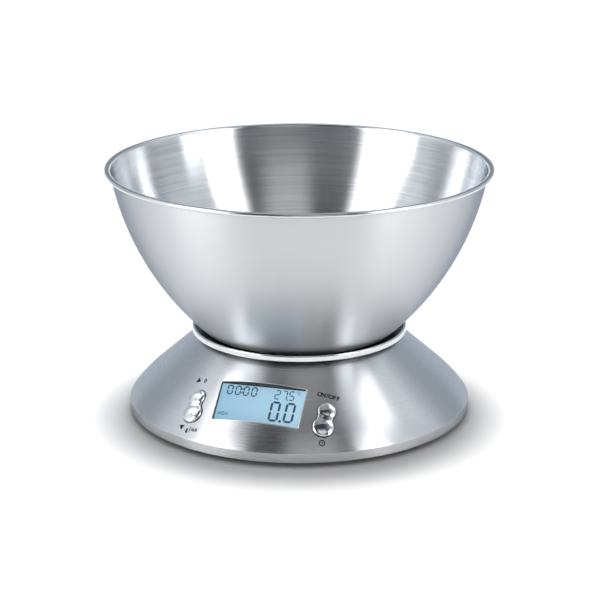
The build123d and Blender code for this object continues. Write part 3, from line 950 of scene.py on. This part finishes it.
@dataclass
class DomeCover:
    """Spun steel shell of the base: flat deck, cone, round shoulder, and an upright skirt."""

    height: float = 44.7
    top_radius: float = 56.9
    hole_radius: float = 45.0
    shoulder_radius: float = 76.4
    shoulder_turn: float = 12.6
    sheet: float = 0.5
    crease_radius: float = 95.2
    crease_height: float = 8.5
    crease_drop: float = 0.2
    skirt_step: float = 0.4
    skirt_fall: float = 0.7
    skirt_height: float = 5.0
    skirt_bevel: float = 0.1
    skirt_lip: float = 0.15
    edge_rounding: float = 0.8
    window_width: float = 48.0
    window_height: float = 24.0
    window_corner: float = 1.2
    window_sink: float = 0.4
    window_cut: float = 16.0
    lip_radius: float = 0.3
    lip_step: float = 2.0
    panel_distance: float = 73.917
    rocker_side: float = 36.2
    rocker_drop: float = 0.8
    steps: int = 360
    slope: float = field(init=False)
    start_radius: float = field(init=False)
    shoulder: Point = field(init=False)

    def __post_init__(self) -> None:
        """Work out the cone's slope and the shoulder's centre."""
        half_turn = math.radians(self.shoulder_turn / 2)
        run, fall = self.crease_radius - self.top_radius, self.height - self.crease_height
        chord = math.hypot(run, fall)
        cone_turn = math.asin(2 * self.shoulder_radius * math.sin(half_turn) ** 2 / chord)
        cone_length = chord * math.sin(half_turn - cone_turn) / math.sin(half_turn)
        self.slope = math.atan2(fall, run) - cone_turn
        self.start_radius = self.top_radius + cone_length * math.cos(self.slope)
        start_height = self.height - cone_length * math.sin(self.slope)
        self.shoulder = (
            self.start_radius - self.shoulder_radius * math.sin(self.slope),
            start_height - self.shoulder_radius * math.cos(self.slope),
        )

    def level(self, radius: float) -> float:
        """Height of the outside.

        Args:
            radius: Distance from the axis.

        Returns:
            The height over the table.
        """
        if radius < self.start_radius:
            return self.height - (radius - self.top_radius) * math.tan(self.slope)
        reach = radius - self.shoulder[0]
        return self.shoulder[1] + math.sqrt(self.shoulder_radius**2 - reach**2)

    def lean(self, radius: float) -> float:
        """Lean of the outside.

        Args:
            radius: Distance from the axis.

        Returns:
            Angle between the outward normal and the vertical, in radians.
        """
        if radius < self.start_radius:
            return self.slope
        return math.asin((radius - self.shoulder[0]) / self.shoulder_radius)

    def touch(self, side: float, forward: float) -> Seat:
        """Plane that touches the dome at a place, with its Y axis up the slope.

        Args:
            side: Distance of the place to the right of the middle.
            forward: Distance of the place in front of the axis.

        Returns:
            The plane.
        """
        outward = Vector((side, -forward, 0))
        radius = outward.length
        lean = self.lean(radius)
        normal = outward.normalized() * math.sin(lean) + Vector((0, 0, math.cos(lean)))
        uphill = Vector((0, math.cos(lean), math.sin(lean)))
        origin = Vector((side, -forward, self.level(radius)))
        return Seat(origin, uphill.cross(normal).normalized(), normal)

    def rocker_seat(self, side: int) -> Seat:
        """Plane of the left (-1) or the right (1) button."""
        return self.touch(side * self.rocker_side, self.panel_distance + self.rocker_drop)

    def panel(self) -> Seat:
        """Plane of the display opening, which leans back with the cone.

        Returns:
            The plane, with its origin in the middle of the opening.
        """
        level = self.level(math.hypot(self.panel_distance, self.window_width / 2))
        origin = Vector((0, -self.panel_distance, level - self.window_sink))
        normal = Vector((0, -math.sin(self.slope), math.cos(self.slope)))
        return Seat(origin, Vector((1, 0, 0)), normal)

    def outline(self) -> Outline:
        """Half section of the shell.

        Returns:
            Outline that starts and ends at the hole in the deck.
        """
        high, low = QUARTER - self.slope, QUARTER - self.lean(self.crease_radius)
        skirt = self.crease_radius + self.skirt_step
        skirt_top = self.crease_height - self.skirt_fall
        skirt_bottom = skirt_top - self.skirt_height
        bevel = self.skirt_bevel
        inner_reach = self.shoulder_radius - self.sheet
        inner_crease = self.crease_height - self.crease_drop - self.shoulder[1]
        edge_setback = self.edge_rounding * math.tan(self.slope / 2)
        edge = (self.top_radius - edge_setback, self.height - self.edge_rounding)
        under = self.height - self.sheet
        setback = self.sheet / math.sin(self.slope) - self.sheet / math.tan(self.slope)
        return (
            Outline(self.hole_radius, self.height)
            .arc(edge, self.edge_rounding, QUARTER, high, 5)
            .arc(self.shoulder, self.shoulder_radius, high, low, 24)
            .line((skirt - bevel, skirt_top + self.skirt_lip), (skirt, skirt_top))
            .line((skirt, skirt_bottom + bevel), (skirt - bevel, skirt_bottom))
            .line((skirt - self.sheet, skirt_bottom))
            .line((skirt - self.sheet, skirt_top - self.crease_drop))
            .arc(self.shoulder, inner_reach, math.asin(inner_crease / inner_reach), high, 24)
            .line((self.top_radius - setback, under), (self.hole_radius, under))
            .line((self.hole_radius, self.height))
        )

    def window_cutter(self) -> Piece:
        """Rounded block that cuts the display opening.

        Returns:
            The block, in its place.
        """
        cutter = Bench.sheet("window_cutter", self.window_width, self.window_height)
        with Bench.editing():
            bpy.ops.mesh.bevel(offset=self.window_corner * MM, segments=6, affect="VERTICES")
        Bench.modify(cutter, "SOLIDIFY", thickness=self.window_cut * MM, offset=0)
        return Bench.place(cutter, self.panel().matrix())

    def on_surface(self, across: float, up: float) -> Vector:
        """Point of the outside over a place on the display's plane.

        Args:
            across: Distance of the place to the right of the plane's origin.
            up: Distance of the place up the plane.

        Returns:
            The point, straight over the place.
        """
        seat = self.panel()
        uphill = seat.normal.cross(seat.across)
        flat = seat.origin + across * seat.across + up * uphill
        low, high = 0.0, self.window_height / 2
        for _ in range(24):
            lift = (low + high) / 2
            place = flat + lift * seat.normal
            inside = place.z < self.level(place.xy.length)
            low, high = (lift, high) if inside else (low, lift)
        return flat + low * seat.normal

    def window_edge(self) -> list[Point]:
        """Run round the display opening, on its plane.

        Returns:
            Points no more than about a step apart.
        """
        corner = self.window_corner
        across, up = self.window_width / 2 - corner, self.window_height / 2 - corner
        ring = Outline(across + corner, up)
        for turn, (x, y) in enumerate(((1, 1), (-1, 1), (-1, -1), (1, -1))):
            start = turn * QUARTER
            ring.arc((x * across, y * up), corner, start, start + QUARTER, 4)
        ring.line(ring.points[0])
        run = []
        for (x, y), (next_x, next_y) in pairwise(ring.points):
            steps = max(1, round(math.dist((x, y), (next_x, next_y)) / self.lip_step))
            shares = (step / steps for step in range(steps))
            run += [(x + (next_x - x) * share, y + (next_y - y) * share) for share in shares]
        return run

    def window_lip(self, look: Look) -> None:
        """Roll an edge round the display opening.

        Args:
            look: Its material.
        """
        run = self.window_edge()
        line = bpy.data.curves.new("window_lip", "CURVE")
        line.dimensions = "3D"
        line.bevel_depth = self.lip_radius * MM
        line.bevel_resolution = 3
        spline = line.splines.new("POLY")
        spline.points.add(len(run) - 1)
        for point, place in zip(spline.points, run):
            point.co = (*(self.on_surface(*place) * MM), 1)
        spline.use_cyclic_u = True
        piece = bpy.data.objects.new("window_lip", line)
        bpy.context.scene.collection.objects.link(piece)
        Bench.take(piece)
        bpy.ops.object.convert(target="MESH")
        bpy.ops.object.shade_smooth()
        finish(Bench.named("window_lip"), look, Body.BASE, "dome_steel")

    def build(self, look: Look, buttons: list["Rocker"]) -> None:
        """Spin the shell and cut its openings.

        Args:
            look: The shell's material.
            buttons: The buttons that the shell has holes for.
        """
        piece = Bench.spin("dome_cover_shell", self.outline(), self.steps)
        Bench.cut(piece, self.window_cutter())
        for button in buttons:
            Bench.cut(piece, button.hole_cutter())
        bpy.ops.object.shade_smooth_by_angle(angle=SMOOTH_ANGLE)
        finish(piece, look, Body.BASE, "dome_steel", "dome_cover")


# ---- rocker buttons ----------------------------------------------------------------------


@dataclass
class Rocker:
    """Chrome button like a figure of eight, with two domed lobes on a pivot."""

    name: str
    body: Body
    seat: Seat
    length: float = 20.2
    upper_radius: float = 4.9
    lower_radius: float = 5.7
    waist: float = 8.4
    shoulder: float = 0.5
    crown: float = 1.35
    waist_crown: float = 1.05
    flange: float = 1.1
    flange_depth: float = 4.5
    flange_thickness: float = 0.8
    pin_radius: float = 0.8
    pin_reach: float = 7.7
    clearance: float = 0.35
    hole_reach: float = 4.4
    hole_grain: float = 0.2
    grain: float = 0.16
    smoothings: int = 26

    def lobes(self) -> list[tuple[Point, float]]:
        """Centre and radius of the upper and the lower lobe."""
        ends = ((1, self.upper_radius), (-1, self.lower_radius))
        return [((0, end * (self.length / 2 - radius)), radius) for end, radius in ends]

    def eight(self, grow: float, low: float, high: float) -> list[Piece]:
        """Upright figure of eight.

        Args:
            grow: How much larger than the button all round.
            low: Height of its underside on the seat.
            high: Height of its top.

        Returns:
            Solids that overlap, drawn flat at the origin.
        """
        parts = []
        for place, radius in self.lobes():
            ends = (Vector((*place, level)) for level in (low, high))
            parts.append(Bench.rod(self.name, radius + grow, *ends, vertices=96))
        (_, upper), (_, lower) = (place for place, _ in self.lobes())
        size = (self.waist + 2 * grow, upper - lower, high - low)
        middle = Vector((0, (upper + lower) / 2, (low + high) / 2)) * MM
        return [*parts, Bench.add(self.name, "cube", size, size=MM, location=middle)]

    def merged(self, name: str, parts: list[Piece], grain: float) -> Piece:
        """Merge solids that overlap into one.

        Args:
            name: Name of the whole.
            parts: The solids, which are used up.
            grain: Size of the finest detail that is kept.

        Returns:
            The whole.
        """
        piece = Bench.join(name, parts)
        return Bench.modify(piece, "REMESH", mode="VOXEL", voxel_size=grain * MM)

    def hole_cutter(self) -> Piece:
        """Figure of eight that cuts the button's hole."""
        eight = self.eight(self.clearance, -self.hole_reach, self.hole_reach)
        return Bench.place(self.merged("cutter", eight, self.hole_grain), self.seat.matrix())

    def domes(self) -> list[Piece]:
        """Low domes on the lobes and a bridge between them.

        Returns:
            Solids that overlap, drawn flat at the origin.
        """
        parts = []
        for (x, y), radius in self.lobes():
            shape = {"segments": 96, "ring_count": 48, "radius": MM}
            middle = Vector((x, y, self.shoulder)) * MM
            scale = (radius, radius, self.crown)
            parts.append(Bench.add(self.name, "uv_sphere", scale, location=middle, **shape))
        (_, upper), (_, lower) = (place for place, _ in self.lobes())
        bridge = Bench.add(
            self.name,
            "cylinder",
            (self.waist / 2, self.waist_crown, 1),
            vertices=96,
            radius=MM,
            depth=(upper - lower) * MM,
            rotation=(QUARTER, 0, 0),
            location=Vector((0, (upper + lower) / 2, self.shoulder)) * MM,
        )
        return [*parts, bridge]

    def build(self, look: Look) -> None:
        """Merge the button's solids into one smooth form and dress it.

        Args:
            look: The button's material.
        """
        bottom = -self.flange_depth - self.flange_thickness
        stem = self.eight(0, bottom, self.shoulder)
        flange = self.eight(self.flange, bottom, -self.flange_depth)
        level = bottom + self.flange_thickness / 2
        ends = (Vector((side * self.pin_reach, 0, level)) for side in (-1, 1))
        pin = Bench.rod(self.name, self.pin_radius, *ends, vertices=48)
        parts = [*stem, *flange, pin, *self.domes()]
        piece = self.merged(f"{self.name}_cap", parts, self.grain)
        Bench.modify(piece, "SMOOTH", factor=0.5, iterations=self.smoothings)
        Bench.place(piece, self.seat.matrix())
        bpy.ops.object.shade_smooth()
        finish(piece, look, self.body, "button_chrome", self.name)


# ---- display -----------------------------------------------------------------------------


class Segment(Enum):
    """Bars of a display figure: middle in halves of its width and height, and if upright."""

    TOP = (0, 2, False)
    UPPER_RIGHT = (1, 1, True)
    LOWER_RIGHT = (1, -1, True)
    BOTTOM = (0, -2, False)
    LOWER_LEFT = (-1, -1, True)
    UPPER_LEFT = (-1, 1, True)
    MIDDLE = (0, 0, False)


LIT = {
    "0": tuple(bar for bar in Segment if bar is not Segment.MIDDLE),
    "2": (Segment.TOP, Segment.UPPER_RIGHT, Segment.MIDDLE, Segment.LOWER_LEFT, Segment.BOTTOM),
    "5": (Segment.TOP, Segment.UPPER_LEFT, Segment.MIDDLE, Segment.LOWER_RIGHT, Segment.BOTTOM),
    "7": (Segment.TOP, Segment.UPPER_RIGHT, Segment.LOWER_RIGHT),
}


@dataclass(frozen=True)
class Figures:
    """A row of seven-segment figures. Its left top corner is measured from the display's."""

    name: str
    text: str
    left: float
    top: float
    height: float
    width: float
    pitch: float
    bar: float
    gap: float = 0.3
    point_share: float = 0.46
    dot_share: float = 0.62
    colon_share: float = 1 / 6

    def segment(self, length: float) -> Piece:
        """Draw one bar with pointed ends, along X.

        Args:
            length: Length of the bar.

        Returns:
            The bar, at the origin.
        """
        piece = Bench.sheet(self.name, length, self.bar)
        with Bench.editing():
            bpy.ops.mesh.bevel(offset=self.bar * self.point_share * MM, affect="VERTICES")
        return piece

    def dot(self, x: float, y: float) -> Piece:
        """Draw a round point.

        Args:
            x: Place of its middle.
            y: Height of its middle.

        Returns:
            The point, a little wider than a bar.
        """
        shape = {"vertices": 24, "radius": self.bar * self.dot_share * MM, "fill_type": "NGON"}
        return Bench.add(self.name, "circle", location=(x * MM, y * MM, 0), **shape)

    def figure(self, sign: str, x: float, y: float) -> list[Piece]:
        """Draw one figure.

        Args:
            sign: Which figure.
            x: Place of its middle.
            y: Height of its middle.

        Returns:
            Its lit bars.
        """
        half_width, quarter = (self.width - self.bar) / 2, (self.height - self.bar) / 4
        bars = []
        for across, up, upright in (bar.value for bar in LIT[sign]):
            piece = self.segment(2 * (quarter if upright else half_width) - self.gap)
            turn = Matrix.Rotation(QUARTER if upright else 0, 4, "Z")
            shift = Vector((x + across * half_width, y + up * quarter, 0)) * MM
            bars.append(Bench.place(piece, Matrix.Translation(shift) @ turn))
        return bars

    def draw(self, corner: Point) -> Piece:
        """Draw the row.

        Args:
            corner: The display's left top corner.

        Returns:
            All lit bars and points as one flat piece.
        """
        parts = []
        x = corner[0] + self.left + self.width / 2
        y = corner[1] - self.top - self.height / 2
        for sign in self.text:
            between = x - self.pitch / 2
            if sign == ".":
                parts.append(self.dot(between, y - (self.height - self.bar) / 2))
            elif sign == ":":
                rise = self.height * self.colon_share
                parts += [self.dot(between, y + end * rise) for end in (-1, 1)]
            else:
                parts += self.figure(sign, x, y)
                x += self.pitch
        return Bench.join(self.name, parts)


@dataclass
class Display:
    """What lies on the display's glass: figures, signs, and a black frame that paints the shade
    under the opening's edge.
    """

    seat: Seat
    width: float = 48.0
    height: float = 24.0
    glass_depth: float = 1.5
    lift: float = 0.01
    thickness: float = 0.03
    # painted shade: a black frame round the glass, seen past the opening's edge, stands for the
    # shadow under that edge
    shade_frame_outside: float = 0.5
    shade_frame_inside: float = 0.4
    rows: tuple[Figures, ...] = (
        Figures("clock_figures", "00:00", 3.7, 1.0, 5.8, 3.3, 4.5, 0.75),
        Figures("temperature_figures", "27.5", 30.4, 1.2, 5.8, 3.0, 3.95, 0.6),
        Figures("weight_figures", "0.0", 29.6, 8.2, 12.1, 5.6, 8.3, 1.25, 0.45),
    )
    signs: tuple[tuple[str, float, Point], ...] = (
        ("\u00b0C", 1.8, (43.4, 2.4)),
        (">0<", 2.6, (4.5, 18.6)),
    )

    def film(self, piece: Piece, look: Look) -> None:
        """Lay a flat piece on the glass as a thin film.

        Args:
            piece: The piece, drawn about the display's middle.
            look: Its material.
        """
        Bench.modify(piece, "SOLIDIFY", thickness=self.thickness * MM, offset=1)
        Bench.place(piece, self.seat.matrix(self.lift - self.glass_depth))
        finish(piece, look, Body.BASE, "lcd_pale_blue")

    def shade_frame(self) -> Piece:
        """Draw the black frame of painted shade, just inside the opening's edge.

        Returns:
            The frame of painted shade, flat.
        """
        cover = 2 * self.shade_frame_outside
        piece = Bench.sheet("display_shade_frame", self.width + cover, self.height + cover)
        with Bench.editing():
            bpy.ops.mesh.inset(thickness=(self.shade_frame_outside + self.shade_frame_inside) * MM)
            bpy.ops.mesh.delete(type="FACE")
        return piece

    def build(self, look: Look, shade_frame_look: Look) -> None:
        """Lay every row and sign on the glass, and the black frame of painted shade.

        Args:
            look: Material of the figures and signs.
            shade_frame_look: Black material of the frame of painted shade.
        """
        corner = (-self.width / 2, self.height / 2)
        for row in self.rows:
            self.film(row.draw(corner), look)
        signs = []
        for text, size, (left, top) in self.signs:
            middle = Vector((corner[0] + left, corner[1] - top, 0)) * MM
            signs.append(Bench.place(Lettering.sign(text, size), Matrix.Translation(middle)))
        self.film(Bench.join("display_signs", signs), look)
        self.film(self.shade_frame(), shade_frame_look)


# ---- printed marks -----------------------------------------------------------------------


class Lettering:
    """Flat signs, drawn about the origin. A capital is `capital_share` of its font's size."""

    capital_share = 0.7
    hand_share = 0.55

    @classmethod
    def sign(cls, text: str, size: float, boldness: float = 0.0) -> Piece:
        """Draw text, centred.

        Args:
            text: What it says.
            size: Height of its capitals, in millimetres.
            boldness: How much each stroke grows on both sides.

        Returns:
            The text as a flat mesh.
        """
        Bench.take()
        bpy.ops.object.text_add()
        words = bpy.context.object.data
        words.body = text
        words.size = size / cls.capital_share * MM
        words.align_x = "CENTER"
        words.align_y = "CENTER"
        words.resolution_u = 4
        words.offset = boldness * MM
        bpy.ops.object.convert(target="MESH")
        return Bench.named("sign")

    @staticmethod
    def triangle(size: float, upwards: bool) -> Piece:
        """Draw a filled arrow head.

        Args:
            size: Distance of its corners from its middle.
            upwards: Whether it points up the slope, and not down.

        Returns:
            The arrow head.
        """
        shape = {"vertices": 3, "radius": size * MM, "fill_type": "NGON"}
        return Bench.add("arrow", "circle", rotation=(0, 0, 0 if upwards else math.pi), **shape)

    @classmethod
    def clock(cls, radius: float, width: float) -> Piece:
        """Draw a clock face.

        Args:
            radius: Outer radius of its ring.
            width: Width of the ring and the hands.

        Returns:
            The ring with two hands.
        """
        ring = Bench.add("clock_ring", "circle", vertices=48, radius=radius * MM)
        share = 1 - width / radius
        with Bench.editing():
            bpy.ops.mesh.extrude_edges_move(TRANSFORM_OT_translate={"value": (0, 0, 0)})
            bpy.ops.transform.resize(value=(share, share, 1))
        reach = radius * cls.hand_share
        middle = (reach - width) / 2
        hands = [
            Bench.sheet("clock_hand", width, reach, (0, middle)),
            Bench.sheet("clock_hand", reach, width, (middle, 0)),
        ]
        return Bench.join("clock_sign", [ring, *hands])


@dataclass
class PrintedMarks:
    """Black print beside the buttons. Places are (side, forward) on the dome."""

    dome: DomeCover
    letter: float = 2.3
    pitch: float = 2.0
    boldness: float = 0.14
    arrow: float = 1.9
    clock_radius: float = 1.7
    clock_line: float = 0.55
    lift: float = 0.012
    upward: Point = (-38.6, 61.0)
    downward: Point = (-41.0, 82.6)
    clock: Point = (37.4, 84.2)
    words: tuple[tuple[str, Point], ...] = (
        ("0", (-34.2, 62.6)),
        ("g/oz", (-34.6, 85.4)),
        ("ON/OFF", (35.3, 63.6)),
    )

    def lay(self, piece: Piece, side: float, forward: float) -> Piece:
        """Put a flat piece on the dome."""
        return Bench.place(piece, self.dome.touch(side, forward).matrix(self.lift))

    def build(self, look: Look) -> None:
        """Print every mark as one piece, letter by letter so that it follows the dome.

        Args:
            look: Material of the print.
        """
        pieces = [
            self.lay(Lettering.triangle(self.arrow, True), *self.upward),
            self.lay(Lettering.triangle(self.arrow, False), *self.downward),
            self.lay(Lettering.clock(self.clock_radius, self.clock_line), *self.clock),
        ]
        for word, (side, forward) in self.words:
            along = self.dome.touch(side, forward).across
            for place, letter in enumerate(word):
                shift = (place - (len(word) - 1) / 2) * self.pitch
                sign = Lettering.sign(letter, self.letter, self.boldness)
                pieces.append(self.lay(sign, side + shift * along.x, forward - shift * along.y))
        finish(Bench.join("printed_marks", pieces), look, Body.BASE, "dome_steel")


# ---- studio ------------------------------------------------------------------------------


@dataclass(frozen=True)
class Softbox:
    """A bright patch of the studio round the object, in degrees seen from it.

    Azimuth 0 is towards the camera and grows to the camera's right.
    """

    azimuth: Point
    elevation: Point
    strength: float
    edge: float = 4.0
    both_sides: bool = False

    def glow(self, azimuth: Value, elevation: Value) -> Value:
        """Brightness in a direction.

        Args:
            azimuth: Azimuth of the direction.
            elevation: Elevation of the direction.

        Returns:
            The strength inside the patch and 0 outside it.
        """
        side = abs(azimuth) if self.both_sides else azimuth
        patch = side.band(*self.azimuth, self.edge) * elevation.band(*self.elevation, self.edge)
        return patch * self.strength


@dataclass
class Studio:
    """White floor and backdrop, soft lights all round, and the camera.

    Each edge of the room is a middle and half a width, in degrees.
    """

    azimuth: float = 16.55
    elevation: float = 17.54
    distance: float = 1065.4
    aim: float = 61.96
    lens: float = 114.0
    shift: float = 0.0012
    nearest: float = 50.0
    dark: float = 0.055
    sides: float = 0.50
    sides_edge: Point = (58.0, 24.0)
    backdrop: float = 0.45
    backdrop_edge: Point = (150.0, 16.0)
    ceiling_edge: Point = (67.0, 9.0)
    gap: float = 0.75
    gap_edge: Point = (158.0, 10.0)
    gap_band: tuple[float, float, float] = (10.0, 34.0, 4.0)
    room_colour: Colour = (0.82, 0.91, 1.0)
    lamps: tuple[Softbox, ...] = (
        Softbox((-76, -41), (-8, 46), 2.0, 3.0),
        Softbox((-70, -52), (-8, 40), 2.0),
        Softbox((-96, -72), (-8, 52), 0.25, 8.0),
        Softbox((43, 66), (-8, 50), 2.2, 2.0),
        Softbox((50, 62), (-8, 40), 2.0),
        Softbox((62, 84), (-8, 52), 0.15, 6.0),
        Softbox((-107, -86), (50, 66), 4.2),
        Softbox((87, 107), (50, 66), 4.2),
        Softbox((102, 124), (38, 58), 0.7, 6.0, both_sides=True),
        Softbox((138, 172), (-6, 10), 0.22, 6.0, both_sides=True),
        Softbox((-6, 24), (20, 40), 0.4, 8.0),
        Softbox((-38, 32), (8, 42), 0.14, 6.0),
        Softbox((108, 128), (26, 40), 0.2, 6.0, both_sides=True),
        Softbox((-12, 36), (43, 60), 0.75, 8.0),
        Softbox((68, 80), (-8, 13), 3.0, 3.0, both_sides=True),
        Softbox((80, 112), (-8, 40), 0.3, 8.0, both_sides=True),
    )
    soft_light: float = 0.36
    top_light: float = 2.4
    top_light_tilt: float = 5.0
    top_light_spread: float = 13.0
    floor_size: float = 8000.0
    floor_glow: float = 0.02
    floor_colour: Colour = (0.95, 0.95, 0.95)
    seen_by: tuple[str, ...] = ("Camera", "Glossy", "Transmission")

    def camera(self) -> None:
        """Place the camera."""
        turn, rise = math.radians(self.azimuth), math.radians(self.elevation)
        back = Vector((math.sin(turn), -math.cos(turn), 0)) * math.cos(rise)
        back.z = math.sin(rise)
        camera = bpy.data.objects.new("camera", bpy.data.cameras.new("camera"))
        bpy.context.scene.collection.objects.link(camera)
        camera.data.lens = self.lens
        camera.data.clip_start = self.nearest * MM
        camera.data.shift_x = self.shift
        camera.location = (Vector((0, 0, self.aim)) + back * self.distance) * MM
        camera.rotation_euler = (-back).to_track_quat("-Z", "Y").to_euler()
        bpy.context.scene.camera = camera

    def reflections(self, graph: Graph) -> Socket:
        """What metal and glass show: a cool room with a white backdrop, and the softboxes.

        Args:
            graph: The world's node graph.

        Returns:
            The shader.
        """
        x, y, z = graph.axes(graph.node("ShaderNodeTexCoord").outputs["Generated"])
        turn = math.radians(self.azimuth)
        towards = x * math.sin(turn) - y * math.cos(turn)
        right = x * math.cos(turn) + y * math.sin(turn)
        azimuth = right.angle_from(towards) * math.degrees(1)
        elevation = z.arcsine() * math.degrees(1)
        away = abs(azimuth)
        sides = self.sides * away.rise(*self.sides_edge)
        backdrop = self.backdrop * away.rise(*self.backdrop_edge)
        behind = away.rise(*self.gap_edge) * elevation.band(*self.gap_band)
        walls = (sides + backdrop) * (1 - elevation.rise(*self.ceiling_edge))
        room = self.dark + walls * (1 - self.gap * behind)
        light = sum(lamp.glow(azimuth, elevation) for lamp in self.lamps)
        cool, white = graph.background(self.room_colour, room), graph.background(WHITE, light)
        return graph.blend("Add", cool, white)

    def world(self) -> None:
        """Light the object evenly; metal and glass show the lamps, and the camera plain white."""
        world = bpy.data.worlds.new("studio")
        world.use_nodes = True
        world.cycles.sampling_method = "NONE"
        bpy.context.scene.world = world
        graph = Graph(world.node_tree)
        diffuse, glossy = graph.rays("Diffuse", "Glossy")
        white, soft = graph.background(WHITE, 1.0), graph.background(WHITE, self.soft_light)
        lit = graph.blend("Mix", diffuse, white, soft)
        seen = graph.blend("Mix", glossy, lit, self.reflections(graph))
        graph.node("ShaderNodeOutputWorld", inputs={0: seen})

    def overhead(self) -> None:
        """Hang a wide soft light over the object, a little behind it. Metal doesn't show it."""
        lamp = bpy.data.lights.new("overhead", "SUN")
        lamp.energy = self.top_light
        lamp.angle = math.radians(self.top_light_spread)
        light = bpy.data.objects.new("overhead", lamp)
        light.rotation_euler = (-math.radians(self.top_light_tilt), 0, math.radians(self.azimuth))
        light.visible_glossy = False
        bpy.context.scene.collection.objects.link(light)

    def floor(self) -> None:
        """Lay the white floor, which keeps the object's shadow."""
        piece = Bench.add("floor", "plane", size=self.floor_size * MM)
        material = bpy.data.materials.new("studio_floor")
        material.use_nodes = True
        graph = Graph(material.node_tree)
        seen = sum(graph.rays(*self.seen_by)) * self.floor_glow
        matt = graph.node("ShaderNodeBsdfDiffuse", inputs={0: (*self.floor_colour, 1.0)})
        glow = graph.node("ShaderNodeEmission", inputs={1: seen})
        both = graph.blend("Add", matt.outputs[0], glow.outputs[0])
        graph.node("ShaderNodeOutputMaterial", inputs={0: both})
        piece.data.materials.append(material)

    def build(self) -> None:
        """Set up the whole studio."""
        bpy.context.scene.view_settings.view_transform = "Standard"
        self.camera()
        self.world()
        self.overhead()
        self.floor()


# ---- the whole ---------------------------------------------------------------------------


def dress_nodes(frame: dict) -> None:
    """Give each CAD node that stays in view the finish of its slot.
    """
    looks = {slot: look.material() for slot, look in SLOT_FINISHES.items()}
    slots = {part["node"]: part["material_slot"] for part in frame["record"]["subparts"]}
    for name, piece in frame["nodes"].items():
        if slots[name] in looks:
            piece.data.materials[0] = looks[slots[name]]


def main() -> None:
    """Build the scale and its studio."""
    logging.basicConfig(level=logging.INFO, format="%(message)s")
    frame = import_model()
    Studio().build()
    dress_nodes(frame)
    dome = DomeCover()
    rockers = [
        Rocker("left_rocker", Body.LEFT_BUTTON, dome.rocker_seat(-1)),
        Rocker("right_rocker", Body.RIGHT_BUTTON, dome.rocker_seat(1)),
    ]
    chrome, rim, ink = CHROME.material(), BRIGHT_RIM.material(), BLACK_PRINT.material()
    MixingBowl().build(BOWL_OUTSIDE.material(), BOWL_INSIDE.material(), rim)
    WeighingTray().build(rim, TRAY_PAINTED_SHADE.material())
    dome.build(DOME_STEEL.material(), rockers)
    for rocker in rockers:
        rocker.build(chrome)
    dome.window_lip(rim)
    # the black print ink also paints the display's frame of shade under the opening's edge
    Display(dome.panel()).build(SEGMENTS.material(), ink)
    PrintedMarks(dome).build(ink)


if __name__ == "__main__":
    main()
